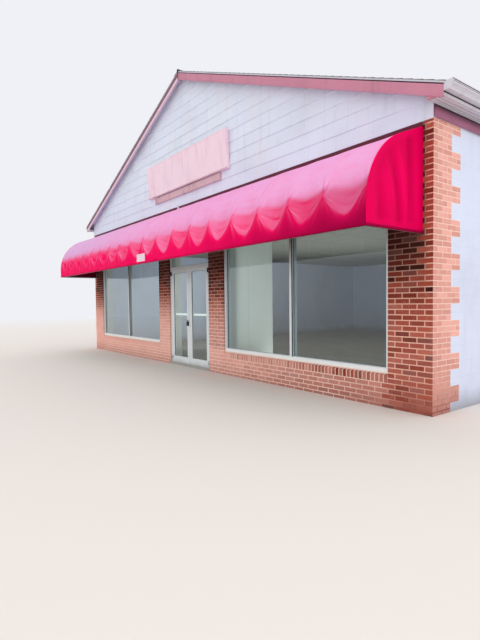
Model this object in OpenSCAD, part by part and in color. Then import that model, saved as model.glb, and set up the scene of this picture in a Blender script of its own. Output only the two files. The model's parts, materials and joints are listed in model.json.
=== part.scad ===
// Single-storey corner shop: brick front with two shop windows and a pair of glazed doors,
// a fabric awning on a tube frame, block side walls toothed to the brick, and a low gable
// roof with lap siding in the gables. Sizes are in millimetres, +Z is up, the street is
// towards -Y, and the origin is on the ground at the centre of the plan.

/* [Plan] */
// Width of the brick pier at each front corner
corner_pier_w = 610; // [420:5:1200]
// Width of each shop window opening
window_w = 3657; // [1800:1:4200]
// Width of the brick pier on each side of the doorway
door_pier_w = 508; // [260:1:900]
// Width of the doorway in the brickwork
doorway_w = 1626; // [1400:1:2200]
// Depth of the building from the front face to the back face
depth = 12192; // [6000:1:16000]
// Thickness of the front wall, brick and block together
front_t = 305; // [260:5:380]
// Thickness of the block side and back walls
block_t = 203; // [150:1:300]

/* [Levels] */
// Top of the brickwork above the ground
wall_h = 3480; // [3200:5:4200]
// Top of the floor above the ground
floor_h = 50; // [30:5:90]
// Underside of the shop windows
sill_z = 425; // [300:5:900]
// Underside of the lintels over the windows and the doorway
head_z = 2700; // [2450:5:2900]
// Underside of the ceiling
ceiling_z = 2950; // [2920:5:3100]
// Thickness of the ceiling
ceiling_t = 120; // [40:5:160]

/* [Brickwork] */
// Length of one brick with one joint
brick_l = 203.2; // [190:0.1:220]
// Thickness of the face brick
brick_t = 102; // [90:1:120]
// Thickness of a mortar joint
joint = 9.5; // [8:0.5:13]
// Height of one block course, which is also the height of one quoin
quoin_h = 203.2; // [190:0.1:210]
// Underside of the lowest quoin above the ground
quoin_z = 112; // [20:1:180]
// Bricks in the short return between quoins
bricks_between_quoins = 2; // [2:1:3]
// Bricks in the long return of a quoin
bricks_per_quoin = 3; // [3:1:5]
// Height of the rowlock sill at its front face
rowlock_h = 102; // [80:1:120]
// Fall of the rowlock sill towards the front
rowlock_fall = 8; // [2:1:20]

/* [Storefront frames] */
// Face width of the aluminium frame members
frame_w = 48; // [35:1:70]
// Face height of the window sill member
sill_member_h = 74; // [45:1:100]
// Depth of the aluminium frames
frame_d = 114; // [80:1:140]
// Distance of the frames behind the brick face
reveal = 30; // [22:1:80]
// Thickness of the window glass
glass_t = 8; // [5:1:12]
// Depth of the groove that holds the glass
glazing_bite = 12; // [6:1:16]
// Distance of the middle of the glass behind the face of its frame
glass_set = 40; // [20:1:60]

/* [Doors] */
// Top of the transom bar above the ground
transom_z = 2172; // [2080:1:2250]
// Width of the door stiles
stile_w = 89; // [50:1:110]
// Height of the door top rails
top_rail_h = 74; // [50:1:120]
// Height of the door bottom rails
bottom_rail_h = 128; // [90:1:250]
// Thickness of the door leaves
leaf_t = 44; // [35:1:50]
// Running gap between a leaf and its frame
leaf_gap = 5; // [5:0.5:8]
// Gap between the two leaves
meeting_gap = 11; // [11:0.5:16]
// Gap under the leaves
floor_gap = 9; // [6:1:15]
// Distance of the pivot axis in front of the leaf
pivot_offset = 19; // [18:0.5:21]
// Radius of the pivot pins
pin_r = 6; // [4:0.5:7]
// Radial clearance of the pivot pins
pin_clear = 0.05; // [0.02:0.01:0.1]
// Height of each pivot arm
arm_h = 46; // [8:1:60]
// Height of the push bars above the ground
push_bar_z = 1125; // [900:5:1200]
// Radius of the push bars
push_bar_r = 13; // [8:1:18]
// Height of the lock above the ground
lock_z = 944; // [850:1:1050]
// Radius of the plate round the lock
lock_plate_r = 22; // [18:1:26]
// Thickness of the plate round the lock
lock_plate_t = 5; // [2:0.5:8]
// Radius of the lock cylinder
lock_r = 15; // [12:1:17]
// Distance that the lock stands out from the stile
lock_out = 14; // [9:0.5:18]

/* [Awning] */
// Distance from each side wall face to the awning
awning_inset = 130; // [20:5:400]
// Projection of the awning from the brick face
awning_out = 1067; // [800:1:1300]
// Bottom edge of the awning above the ground
awning_z = 2160; // [2140:5:2300]
// Pitch in degrees of the straight upper part of the awning
awning_pitch = 21; // [14:0.5:30]
// Radius of the bend from the upper part of the awning to its upright front
awning_bend_r = 930; // [700:5:1000]
// Distance from the top of the awning down from the top of the brickwork
awning_drop = 68; // [60:1:160]
// Number of bays between the awning ribs
awning_bays = 18; // [8:1:24]
// Side of the square awning tubes
tube = 25; // [20:1:32]
// Thickness of the awning cover
cover_t = 2; // [1.5:0.5:4]
// Width of the bare panel on the awning front
panel_w = 370; // [200:5:500]
// Height of the bare panel on the awning front
panel_h = 152; // [100:1:170]
// Height of the bare panel above the bottom edge of the awning
panel_lift = 45; // [30:1:60]

/* [Gables and roof] */
// Pitch of the roof in degrees
roof_pitch = 22.62; // [19.5:0.01:25.5]
// Top of the roof above the top of the brickwork, at the side wall face
roof_heel = 372; // [352:1:420]
// Vertical thickness of the roof deck and shingles
roof_t = 26; // [20:1:45]
// Overhang of the roof beyond the gable walls
rake_out = 150; // [100:5:300]
// Thickness of the framed gable walls
gable_t = 140; // [100:5:200]
// Height of siding that shows on one board
siding_h = 209; // [120:1:300]
// Thickness of a siding board at its lower edge
siding_butt = 16; // [10:1:25]
// Thickness of a siding board at its upper edge
siding_top = 5; // [3:1:8]
// Depth of the rake boards under the roof
rake_board_h = 146; // [90:1:190]
// Thickness of the trim boards
board_t = 19; // [12:1:30]
// Width of each wing of the ridge cap
ridge_wing = 150; // [80:5:250]
// Thickness of the ridge cap
ridge_t = 12; // [6:1:20]

/* [Eaves] */
// Overhang of the eaves to the outer face of the fascia
eave_out = 200; // [120:5:300]
// Overhang of the roof edge beyond the fascia
drip = 14; // [8:1:25]
// Height of the frieze board
frieze_h = 140; // [90:1:180]
// Gap between the top of the brickwork and the frieze board
frieze_lift = 8; // [0:1:30]
// Thickness of the soffit board
soffit_t = 12; // [8:1:20]
// Distance that the fascia hangs below the soffit
fascia_lip = 10; // [4:1:16]
// Width of the gutter at its top
gutter_w = 112; // [80:1:140]
// Height of the back of the gutter
gutter_h = 72; // [55:1:95]
// Width of the gutter at its bottom
gutter_foot = 66; // [45:1:80]
// Thickness of the gutter sheet
gutter_t = 2; // [1.5:0.5:3]

/* [Sign] */
// Width of the sign panel
sign_w = 3220; // [1200:10:4000]
// Height of the sign panel
sign_h = 690; // [300:10:900]
// Underside of the sign above the top of the brickwork
sign_lift = 375; // [300:5:600]
// Thickness of the sign panel
sign_t = 45; // [25:1:80]
// Distance that the top of the sign leans forward
sign_lean = 60; // [20:1:120]
// Height of the ledge under the sign
ledge_h = 22; // [10:1:35]
// Width of the brackets behind the sign
bracket_w = 40; // [20:1:80]
// Width of the narrow board under the sign
strip_w = 2660; // [1000:10:3600]
// Height of the narrow board under the sign
strip_h = 130; // [60:5:180]
// Gap between the sign and the narrow board
strip_gap = 45; // [20:1:80]
// Thickness of the narrow board
strip_t = 40; // [20:1:60]

/* [Partition] */
// Distance that the partition beside the entry runs back from the front wall
partition_l = 935; // [400:5:2500]
// Thickness of the partition
partition_t = 115; // [80:1:150]

/* [Hidden] */
$fn = 48;

// Colours of the finishes
brick_red = [0.55, 0.25, 0.19];
wall_white = [0.86, 0.88, 0.91];
trim_mauve = [0.67, 0.42, 0.50];
frame_white = [0.85, 0.86, 0.88];
glass_tint = [0.62, 0.70, 0.72, 0.35];
awning_red = [0.80, 0.05, 0.26];
shingle_brown = [0.27, 0.22, 0.22];
concrete_grey = [0.66, 0.64, 0.61];
plaster_white = [0.87, 0.86, 0.83];
steel_grey = [0.55, 0.56, 0.58];
lock_black = [0.08, 0.08, 0.08];

// Overrun of a cut beyond the faces it goes through, and play between sloping faces that meet
cut = 1;
seat = 0.1;

// Plan lines, measured from the centre line
door_half = doorway_w / 2;
window_in = door_half + door_pier_w;
window_out = window_in + window_w;
half_w = window_out + corner_pier_w;
room_half = half_w - block_t;

// Lengths of the brick returns on the side walls, and the top of the quoins
short_return = bricks_between_quoins * brick_l - joint;
long_return = bricks_per_quoin * brick_l - joint;
quoin_count = ceil((wall_h - quoin_z) / (2 * quoin_h));

// Roof lines: the height of the upper surface and of the underside at a distance from the centre
roof_slope = tan(roof_pitch);
ridge_z = wall_h + roof_heel + roof_slope * half_w;
function roof_top(x) = ridge_z - roof_slope * abs(x);
function roof_under(x) = roof_top(x) - roof_t;

// Eaves
fascia_x = half_w + eave_out;
eave_x = fascia_x + drip;
frieze_z = wall_h + frieze_lift;
soffit_z = frieze_z + frieze_h;
rake_face = rake_out - board_t;

// Storefront
frame_in = door_half - frame_w;
door_head = transom_z - frame_w;
leaf_x1 = frame_in - leaf_gap;
leaf_x0 = meeting_gap / 2;
leaf_z0 = floor_h + floor_gap;
leaf_z1 = door_head - leaf_gap;
pivot_x = frame_in - leaf_gap / 2;
pivot_y = reveal - pivot_offset;
arm_r = 2 * pin_r;
arm_play = 0.3;
arm_grip = 30;
arm_inset = 45;
push_bar_stand = 26;

// Awning outline from the side: upright at the front, one bend about a centre near the wall,
// then straight up to the wall
awning_top = wall_h - awning_drop;
awning_half = half_w - awning_inset;
bend_y = awning_bend_r - awning_out;
bend_z = awning_top - awning_bend_r * cos(awning_pitch)
    - tan(awning_pitch) * (awning_bend_r * sin(awning_pitch) - bend_y);
bend_steps = 16;
rib_half = awning_half - cover_t - tube / 2;

// The outline at a distance inside the cover's outer face, from the ground up to a place y
function awning_line(inset, y) =
    let (r = awning_bend_r - inset, end = 90 - awning_pitch)
    concat([[bend_y - r, 0]],
        [for (k = [0 : bend_steps]) let (a = end * k / bend_steps)
            [bend_y - r * cos(a), bend_z + r * sin(a)]],
        [[y, bend_z + r * sin(end) + tan(awning_pitch) * (y - bend_y + r * cos(end))]]);

// Where that outline is at a height
function awning_y(inset, z) =
    bend_y - sqrt(pow(awning_bend_r - inset, 2) - pow(max(z - bend_z, 0), 2));

// The working position of the front face of the building
module at_front() {
    translate([0, -depth / 2, 0]) children();
}

// A shape drawn across the building (X and Z) and pulled back from y0 to y1
module pull_back(y0, y1) {
    translate([0, y1, 0]) rotate([90, 0, 0]) linear_extrude(y1 - y0) children();
}

// A shape drawn from the side (Y and Z) and pulled along X from x0 to x1
module pull_along(x0, x1) {
    translate([x0, 0, 0]) rotate([90, 0, 90]) linear_extrude(x1 - x0) children();
}

// A block given by its two opposite corners
module block(low, high) {
    translate(low) cube(high - low);
}

// The same piece on the right, or mirrored to the left
module on_side(side) {
    if (side > 0) children();
    else mirror([1, 0, 0]) children();
}

module both_sides() {
    on_side(1) children();
    on_side(-1) children();
}

module floor_slab() {
    color(concrete_grey) at_front()
        block([-room_half, front_t, 0], [room_half, depth - block_t, floor_h]);
}

module ceiling() {
    color(plaster_white) at_front()
        block([-room_half, front_t, ceiling_z], [room_half, depth - block_t, ceiling_z + ceiling_t]);
}

// The short wall between the entry and the right display window
module entry_partition() {
    color(plaster_white) at_front()
        block([window_in - partition_t, front_t, floor_h],
            [window_in, front_t + partition_l, ceiling_z]);
}

// Face brick on the side wall: a short return with a longer quoin every second block course
module brick_return() {
    block([half_w - brick_t, front_t, 0], [half_w, short_return, wall_h]);
    for (i = [0 : quoin_count - 1]) {
        z0 = quoin_z + 2 * i * quoin_h;
        block([half_w - brick_t, front_t, z0], [half_w, long_return, min(z0 + quoin_h, wall_h)]);
    }
}

module brick_corner(side) {
    color(brick_red) at_front() on_side(side) union() {
        block([window_out, 0, 0], [half_w, front_t, wall_h]);
        brick_return();
    }
}

module brick_pier_door(side) {
    color(brick_red) at_front() on_side(side)
        block([door_half, 0, 0], [window_in, front_t, head_z]);
}

module brick_sill_wall(side) {
    color(brick_red) at_front() on_side(side)
        block([window_in, 0, 0], [window_out, front_t, sill_z - rowlock_h - rowlock_fall]);
}

// Bricks on edge under the windows, sloped to shed water
module rowlock_sills() {
    base = sill_z - rowlock_h - rowlock_fall;
    color(brick_red) at_front() both_sides() pull_along(window_in, window_out)
        polygon([[0, base], [front_t, base], [front_t, sill_z], [reveal, sill_z],
            [0, sill_z - rowlock_fall]]);
}

module brick_head_band() {
    color(brick_red) at_front()
        block([-window_out, 0, head_z], [window_out, front_t, wall_h]);
}

// Block wall from the ground to the underside of the roof, toothed round the brick return
module side_wall(side) {
    color(wall_white) at_front() on_side(side) difference() {
        pull_back(gable_t, depth)
            polygon([[room_half, 0], [half_w, 0], [half_w, roof_under(half_w)],
                [room_half, roof_under(room_half)]]);
        block([room_half - cut, -cut, -cut], [half_w + cut, front_t, wall_h]);
        block([room_half - cut, depth - gable_t, wall_h], [half_w + cut, depth + cut, ridge_z]);
        brick_return();
    }
}

module back_wall() {
    color(wall_white) at_front()
        block([-room_half, depth - block_t, 0], [room_half, depth, wall_h]);
}

// Section of the lap siding: each board leans out to its lower edge
module siding_section() {
    courses = ceil((ridge_z - wall_h) / siding_h);
    faces = [for (k = [0 : courses - 1]) each [
        [-siding_butt, wall_h + k * siding_h],
        [-siding_top, wall_h + (k + 1) * siding_h]
    ]];
    polygon(concat([[gable_t, wall_h]], faces, [[gable_t, wall_h + courses * siding_h]]));
}

// Framed gable wall with its siding, cut to the underside of the roof
module gable() {
    intersection() {
        pull_along(-half_w, half_w) siding_section();
        pull_back(-2 * siding_butt, gable_t + cut)
            polygon([[-half_w, wall_h - cut], [half_w, wall_h - cut], [half_w, roof_under(half_w)],
                [0, roof_under(0)], [-half_w, roof_under(half_w)]]);
    }
}

module gable_front() {
    color(wall_white) at_front() gable();
}

module gable_back() {
    color(wall_white) at_front() translate([0, depth, 0]) mirror([0, 1, 0]) gable();
}

module roof_slope_slab(side) {
    color(shingle_brown) at_front() on_side(side) pull_back(-rake_out, depth + rake_out)
        polygon([[0, roof_under(0) + seat], [eave_x, roof_under(eave_x) + seat],
            [eave_x, roof_top(eave_x)], [0, roof_top(0)]]);
}

module ridge_cap() {
    wing_z = roof_top(ridge_wing);
    color(shingle_brown) at_front() translate([0, 0, seat]) pull_back(-rake_out, depth + rake_out)
        polygon([[0, ridge_z], [ridge_wing, wing_z], [ridge_wing, wing_z + ridge_t],
            [0, ridge_z + ridge_t], [-ridge_wing, wing_z + ridge_t], [-ridge_wing, wing_z]]);
}

module frieze_boards() {
    color(trim_mauve) at_front() both_sides()
        block([half_w, 0, frieze_z], [half_w + board_t, depth, soffit_z]);
}

module eave_soffits() {
    color(wall_white) at_front() both_sides()
        block([half_w, -rake_face, soffit_z],
            [fascia_x - board_t, depth + rake_face, soffit_z + soffit_t]);
}

module eave_fascias() {
    back_x = fascia_x - board_t;
    color(frame_white) at_front() both_sides() pull_back(-rake_face, depth + rake_face)
        polygon([[back_x, soffit_z - fascia_lip], [fascia_x, soffit_z - fascia_lip],
            [fascia_x, roof_under(fascia_x)], [back_x, roof_under(back_x)]]);
}

// Section of an ogee gutter: its back under the roof edge, its lip level with the roof surface
module gutter_section(inset, lift) {
    back_z = roof_under(eave_x);
    lip_z = roof_top(eave_x);
    foot_z = back_z - gutter_h + inset;
    swell = gutter_w - gutter_foot;
    x0 = fascia_x + inset;
    x1 = fascia_x + gutter_foot - inset;
    x2 = fascia_x + gutter_w - inset;
    step_x = eave_x + seat;
    polygon([[x0, back_z - seat + lift], [x0, foot_z], [x1, foot_z],
        [x1 + swell / 4, foot_z + 0.3 * gutter_h], [x2 - swell / 4, foot_z + 0.6 * gutter_h],
        [x2, foot_z + 0.75 * gutter_h], [x2, lip_z + lift], [step_x, lip_z + lift],
        [step_x, back_z - seat + lift]]);
}

// Formed gutters with closed ends, open at the top
module gutters() {
    color(frame_white) at_front() both_sides() difference() {
        pull_back(-rake_out, depth + rake_out) gutter_section(0, 0);
        pull_back(gutter_t - rake_out, depth + rake_out - gutter_t) gutter_section(gutter_t, cut);
    }
}

// The sloping boards along the edges of a gable roof, plumb cut at the eaves, each with a
// closure that boxes in the end of the eave
module rake_boards() {
    both_sides() pull_back(-rake_out, -rake_face) {
        polygon([[0, roof_under(0) - rake_board_h], [fascia_x, roof_under(fascia_x) - rake_board_h],
            [fascia_x, roof_under(fascia_x)], [0, roof_under(0)]]);
        polygon([[half_w, soffit_z], [fascia_x, soffit_z], [fascia_x, roof_under(fascia_x)],
            [half_w, roof_under(half_w)]]);
    }
}

module rake_boards_front() {
    color(trim_mauve) at_front() rake_boards();
}

module rake_boards_back() {
    color(trim_mauve) at_front() translate([0, depth, 0]) mirror([0, 1, 0]) rake_boards();
}

// A sheet of glass that reaches into the grooves around a clear opening
module pane(x0, x1, z0, z1, y) {
    block([x0 - glazing_bite, y - glass_t / 2, z0 - glazing_bite],
        [x1 + glazing_bite, y + glass_t / 2, z1 + glazing_bite]);
}

frame_glass_y = reveal + glass_set;
mullion_x = (window_in + window_out) / 2;

module window_panes() {
    z0 = sill_z + sill_member_h;
    z1 = head_z - frame_w;
    pane(window_in + frame_w, mullion_x - frame_w / 2, z0, z1, frame_glass_y);
    pane(mullion_x + frame_w / 2, window_out - frame_w, z0, z1, frame_glass_y);
}

module window_frame(side) {
    z0 = sill_z + sill_member_h;
    z1 = head_z - frame_w;
    y0 = reveal;
    y1 = reveal + frame_d;
    color(frame_white) at_front() on_side(side) difference() {
        block([window_in, y0, sill_z], [window_out, y1, head_z]);
        block([window_in + frame_w, y0 - cut, z0], [mullion_x - frame_w / 2, y1 + cut, z1]);
        block([mullion_x + frame_w / 2, y0 - cut, z0], [window_out - frame_w, y1 + cut, z1]);
        window_panes();
    }
}

module window_glass(side) {
    color(glass_tint) at_front() on_side(side) window_panes();
}

module transom_pane() {
    pane(-frame_in, frame_in, transom_z, head_z - frame_w, frame_glass_y);
}

module door_frame() {
    y0 = reveal;
    y1 = reveal + frame_d;
    color(frame_white) at_front() difference() {
        block([-door_half, y0, floor_h], [door_half, y1, head_z]);
        block([-frame_in, y0 - cut, floor_h - cut], [frame_in, y1 + cut, door_head]);
        block([-frame_in, y0 - cut, transom_z], [frame_in, y1 + cut, head_z - frame_w]);
        transom_pane();
    }
}

module transom_glass() {
    color(glass_tint) at_front() transom_pane();
}

module door_threshold() {
    color(concrete_grey) at_front() block([-door_half, 0, 0], [door_half, front_t, floor_h]);
}

// Heights of the lower and upper pivot arms of a leaf
lower_arm_z = leaf_z0 + arm_inset;
upper_arm_z = leaf_z1 - arm_inset - 2 * arm_h;

// Outline of a pivot arm: a round eye on the axis, and a foot on the face behind it
module arm_outline(foot_x0, foot_x1) {
    circle(r = arm_r);
    polygon([[-arm_r, 0], [foot_x0, pivot_offset], [foot_x1, pivot_offset], [arm_r, 0]]);
}

// The arm fixed to the jamb, with its pin
module frame_arm(z, pin_z) {
    translate([pivot_x, pivot_y, z]) linear_extrude(arm_h)
        arm_outline(leaf_gap / 2, arm_grip);
    translate([pivot_x, pivot_y, pin_z]) cylinder(r = pin_r, h = arm_h + 2 * arm_play);
}

module door_pivots() {
    color(steel_grey) at_front() both_sides() {
        frame_arm(lower_arm_z, lower_arm_z + arm_h - arm_play);
        frame_arm(upper_arm_z + arm_h + arm_play, upper_arm_z);
    }
}

module leaf_arm(z) {
    translate([pivot_x, pivot_y, z]) difference() {
        linear_extrude(arm_h) arm_outline(-arm_grip, -leaf_gap / 2);
        translate([0, 0, -cut]) cylinder(r = pin_r + pin_clear, h = arm_h + 2 * cut);
    }
}

leaf_mid = reveal + leaf_t / 2;

module leaf_pane() {
    pane(leaf_x0 + stile_w, leaf_x1 - stile_w, leaf_z0 + bottom_rail_h, leaf_z1 - top_rail_h, leaf_mid);
}

// Stiles and rails of one leaf with the two arms that turn on the pivot pins
module door_leaf(side) {
    color(frame_white) at_front() on_side(side) union() {
        difference() {
            block([leaf_x0, reveal, leaf_z0], [leaf_x1, reveal + leaf_t, leaf_z1]);
            block([leaf_x0 + stile_w, reveal - cut, leaf_z0 + bottom_rail_h],
                [leaf_x1 - stile_w, reveal + leaf_t + cut, leaf_z1 - top_rail_h]);
            leaf_pane();
        }
        leaf_arm(lower_arm_z + arm_h + arm_play);
        leaf_arm(upper_arm_z);
    }
}

module door_glass(side) {
    color(glass_tint) at_front() on_side(side) leaf_pane();
}

// Bar across the inside of a leaf, held off by a block at each stile
module push_bar(side) {
    y0 = reveal + leaf_t;
    y1 = y0 + push_bar_stand;
    x0 = leaf_x0 + stile_w / 2;
    x1 = leaf_x1 - stile_w / 2;
    color(frame_white) at_front() on_side(side) union() {
        translate([x0, y1, push_bar_z]) rotate([0, 90, 0]) cylinder(r = push_bar_r, h = x1 - x0);
        for (x = [x0, x1 - stile_w / 2])
            block([x, y0, push_bar_z - push_bar_r], [x + stile_w / 2, y1, push_bar_z + push_bar_r]);
    }
}

// Round cylinder lock on the meeting stile of the left leaf
module door_lock() {
    color(lock_black) at_front()
        translate([-(leaf_x0 + stile_w / 2), reveal, lock_z]) rotate([90, 0, 0]) {
            cylinder(r = lock_plate_r, h = lock_plate_t);
            cylinder(r = lock_r, h = lock_out);
        }
}

// One awning rib: a square tube bent to the outline, down to the ground
module awning_rib(x) {
    outer = awning_line(cover_t + seat, -tube);
    inner = awning_line(cover_t + seat + tube, -tube);
    pull_along(x - tube / 2, x + tube / 2)
        polygon(concat(outer, [for (i = [len(inner) - 1 : -1 : 0]) inner[i]]));
}

// Square tubes: one along the wall, one along the bottom front edge, a bent rib at each bay that
// stands on it, and the two ends
module awning_frame() {
    front_y = awning_y(cover_t, awning_z + tube);
    wall_z = awning_line(cover_t + seat, -tube)[bend_steps + 2][1];
    bay = 2 * rib_half / awning_bays;
    x1 = rib_half + tube / 2;
    color(steel_grey) at_front() {
        block([-x1, -tube, wall_z - tube], [x1, 0, wall_z]);
        block([-x1, front_y, awning_z], [x1, front_y + tube, awning_z + tube]);
        intersection() {
            union() for (i = [0 : awning_bays]) awning_rib(-rib_half + i * bay);
            block([-awning_half, -awning_out, awning_z + tube], [awning_half, 0, awning_top]);
        }
        both_sides() {
            block([x1 - tube, front_y + tube, awning_z], [x1, -tube, awning_z + tube]);
            block([x1 - tube, -tube, awning_z], [x1, 0, wall_z - tube]);
        }
    }
}

// The space under the awning's outline, down to the ground
module awning_body(inset, y) {
    pull_along(inset - awning_half, awning_half - inset)
        polygon(concat(awning_line(inset, y), [[y, 0]]));
}

// One sheet over the upper part, the bend and the front, with its two closed ends
module awning_cover() {
    color(awning_red) at_front() difference() {
        awning_body(0, 0);
        awning_body(cover_t, cut);
        block([-half_w, -2 * awning_out, -cut], [half_w, cut, awning_z]);
    }
}

// The bare panel on the awning front, centred over the doorway
module awning_panel() {
    z0 = awning_z + panel_lift;
    color(frame_white) at_front()
        block([-panel_w / 2, -awning_out - cover_t, z0], [panel_w / 2, -awning_out, z0 + panel_h]);
}

// A boxed sign that leans forward at the top, held off the siding by three brackets
module sign_panel() {
    z0 = wall_h + sign_lift;
    z1 = z0 + sign_h;
    back_y = -siding_butt - seat;
    color(frame_white) at_front() union() {
        pull_along(-sign_w / 2, sign_w / 2)
            polygon([[back_y, z0], [back_y - sign_t, z0], [back_y - sign_t - sign_lean, z1],
                [back_y - sign_lean, z1]]);
        block([-sign_w / 2, back_y - sign_t - ledge_h, z0 - ledge_h], [sign_w / 2, back_y, z0]);
        for (x = [bracket_w - sign_w / 2, 0, sign_w / 2 - bracket_w])
            pull_along(x - bracket_w / 2, x + bracket_w / 2)
                polygon([[back_y, z0], [back_y - sign_lean, z1], [back_y, z1]]);
    }
}

module sign_strip() {
    z1 = wall_h + sign_lift - strip_gap;
    color(trim_mauve) at_front()
        block([-strip_w / 2, -siding_butt - strip_t, z1 - strip_h],
            [strip_w / 2, -siding_butt - seat, z1]);
}

floor_slab();
ceiling();
entry_partition();
brick_corner(1);  // brick_corner_right
brick_corner(-1);  // brick_corner_left
brick_pier_door(1);  // brick_pier_door_right
brick_pier_door(-1);  // brick_pier_door_left
brick_sill_wall(1);  // brick_sill_wall_right
brick_sill_wall(-1);  // brick_sill_wall_left
rowlock_sills();
brick_head_band();
side_wall(1);  // side_wall_right
side_wall(-1);  // side_wall_left
back_wall();
gable_front();
gable_back();
roof_slope_slab(1);  // roof_slope_right
roof_slope_slab(-1);  // roof_slope_left
ridge_cap();
frieze_boards();
eave_soffits();
eave_fascias();
gutters();
rake_boards_front();
rake_boards_back();
window_frame(1);  // window_frame_right
window_frame(-1);  // window_frame_left
window_glass(1);  // window_glass_right
window_glass(-1);  // window_glass_left
door_frame();
transom_glass();
door_threshold();
door_pivots();
awning_frame();
awning_cover();
awning_panel();
sign_panel();
sign_strip();
door_leaf(1);  // door_leaf_right
door_glass(1);  // door_glass_right
push_bar(1);  // push_bar_right
door_leaf(-1);  // door_leaf_left
door_glass(-1);  // door_glass_left
push_bar(-1);  // push_bar_left
door_lock();
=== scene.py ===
"""Bricks, siding, shingles, awning cloth, glazing and finishes for the corner shop."""

import json
import math
import random

import bmesh
import bpy
from bpy.props import FloatProperty, FloatVectorProperty, IntProperty, PointerProperty
from bpy.types import Operator, Panel, PropertyGroup
from mathutils import Matrix, Vector, noise


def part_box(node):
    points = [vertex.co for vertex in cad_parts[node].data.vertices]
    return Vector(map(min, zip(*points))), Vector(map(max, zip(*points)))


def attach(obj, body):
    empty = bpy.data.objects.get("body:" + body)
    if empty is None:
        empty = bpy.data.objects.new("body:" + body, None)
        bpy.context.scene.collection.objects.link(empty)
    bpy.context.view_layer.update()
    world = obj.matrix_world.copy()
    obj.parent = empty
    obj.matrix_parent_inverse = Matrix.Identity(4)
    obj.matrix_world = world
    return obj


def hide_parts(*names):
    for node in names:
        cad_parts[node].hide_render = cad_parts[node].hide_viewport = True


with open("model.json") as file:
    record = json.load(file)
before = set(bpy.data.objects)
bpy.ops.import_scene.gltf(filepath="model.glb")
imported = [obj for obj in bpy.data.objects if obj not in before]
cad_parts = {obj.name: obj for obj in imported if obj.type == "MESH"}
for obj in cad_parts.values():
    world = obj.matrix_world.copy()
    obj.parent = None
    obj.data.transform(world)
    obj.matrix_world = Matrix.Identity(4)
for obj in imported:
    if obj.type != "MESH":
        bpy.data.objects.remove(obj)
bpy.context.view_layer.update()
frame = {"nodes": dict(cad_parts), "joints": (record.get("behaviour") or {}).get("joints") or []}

bl_info = {
    "name": "Corner shop finishes",
    "version": (1, 0, 0),
    "blender": (4, 5, 0),
    "location": "View3D > Sidebar > Corner shop",
    "description": "Lays the bricks, siding and shingles and finishes the corner shop",
    "category": "Add Mesh",
}

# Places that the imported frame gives
CORNER_LOW, CORNER_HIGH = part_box("brick_corner_right")
PIER_LOW, PIER_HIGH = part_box("brick_pier_door_right")
SILL_LOW, SILL_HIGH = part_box("rowlock_sills")
COVER_LOW, COVER_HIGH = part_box("awning_cover")
ROOF_LOW, ROOF_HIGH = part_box("roof_slope_right")
SIGN_LOW, SIGN_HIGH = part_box("sign_panel")
STRIP_LOW, STRIP_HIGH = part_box("sign_strip")
GUTTER_LOW, GUTTER_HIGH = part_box("gutters")
SOFFIT_LOW, SOFFIT_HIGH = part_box("eave_soffits")
FASCIA_LOW, FASCIA_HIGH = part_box("eave_fascias")
FRIEZE_LOW, FRIEZE_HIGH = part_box("frieze_boards")
WINDOW_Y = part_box("window_frame_right")[0].y
THRESHOLD_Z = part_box("door_threshold")[1].z

HALF_W, WALL_TOP = CORNER_HIGH.x, CORNER_HIGH.z
FACE_Y, BACK_Y = PIER_LOW.y, -PIER_LOW.y
PIER_IN, PIER_OUT, HEAD_Z = PIER_LOW.x, PIER_HIGH.x, PIER_HIGH.z
CORNER_IN = CORNER_LOW.x
SILL_BASE, SILL_Z = SILL_LOW.z, SILL_HIGH.z
RIDGE_Z, EAVE_X = ROOF_HIGH.z, ROOF_HIGH.x
REVEAL = WINDOW_Y - FACE_Y
SLOPE_TAN = [face.normal.x / face.normal.z
             for face in frame["nodes"]["roof_slope_right"].data.polygons
             if face.normal.z > 0.5][-1]
ROOF_T = RIDGE_Z - SLOPE_TAN * EAVE_X - ROOF_LOW.z
RAKES = ((-1, ROOF_LOW.y), (1, ROOF_HIGH.y))
SIDES = ((1, "right"), (-1, "left"))

BLOCK = 0.2032
PANE_BITE = 0.012
LAP = 0.001


def srgb(red, green, blue):
    """A colour given in 8-bit display values, as Blender's linear RGBA."""
    def linear(value):
        value /= 255
        return value / 12.92 if value <= 0.04045 else ((value + 0.055) / 1.055) ** 2.4
    return (linear(red), linear(green), linear(blue), 1.0)


def length(label, note, default):
    return FloatProperty(name=label, description=note, default=default, min=0.0, max=10.0,
                         subtype="DISTANCE", unit="LENGTH", precision=4)


def colour(label, note, *display):
    return FloatVectorProperty(name=label, description=note, default=srgb(*display), size=4,
                               min=0.0, max=1.0, subtype="COLOR")


def watts(label, note, default):
    return FloatProperty(name=label, description=note, default=default, min=0.0, max=5000.0,
                         subtype="POWER", unit="POWER")


class BrickSettings(PropertyGroup):
    """Sizes and colours of the brickwork."""
    length: length("Length", "Length of one brick with one joint", BLOCK)
    course: length("Course", "Height of one course with one joint", BLOCK / 3)
    joint: length("Joint", "Thickness of a mortar joint", 0.0142)
    first: length("First bed", "Height of the lowest full bed joint", 0.112 - BLOCK / 3)
    proud: length("Proud", "Distance that the bricks stand out from the mortar", 0.0028)
    short_return: length("Short return", "Length of the return between quoins", 0.3969)
    long_return: length("Long return", "Length of the return of a quoin", 0.6001)
    rowlocks: IntProperty(name="Rowlocks", description="Bricks on edge under each window",
                          default=54, min=1, max=90)
    dark: colour("Dark", "Colour of the darkest bricks", 66, 26, 20)
    deep: colour("Deep", "Colour of the deep red bricks", 116, 46, 36)
    red: colour("Red", "Colour of most bricks", 162, 73, 56)
    light: colour("Light", "Colour of the lightest bricks", 192, 102, 80)
    bleached: colour("Bleached", "Colour that the bricks fade to", 255, 194, 182)
    mortar: colour("Mortar", "Colour of the mortar", 248, 193, 172)


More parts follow.
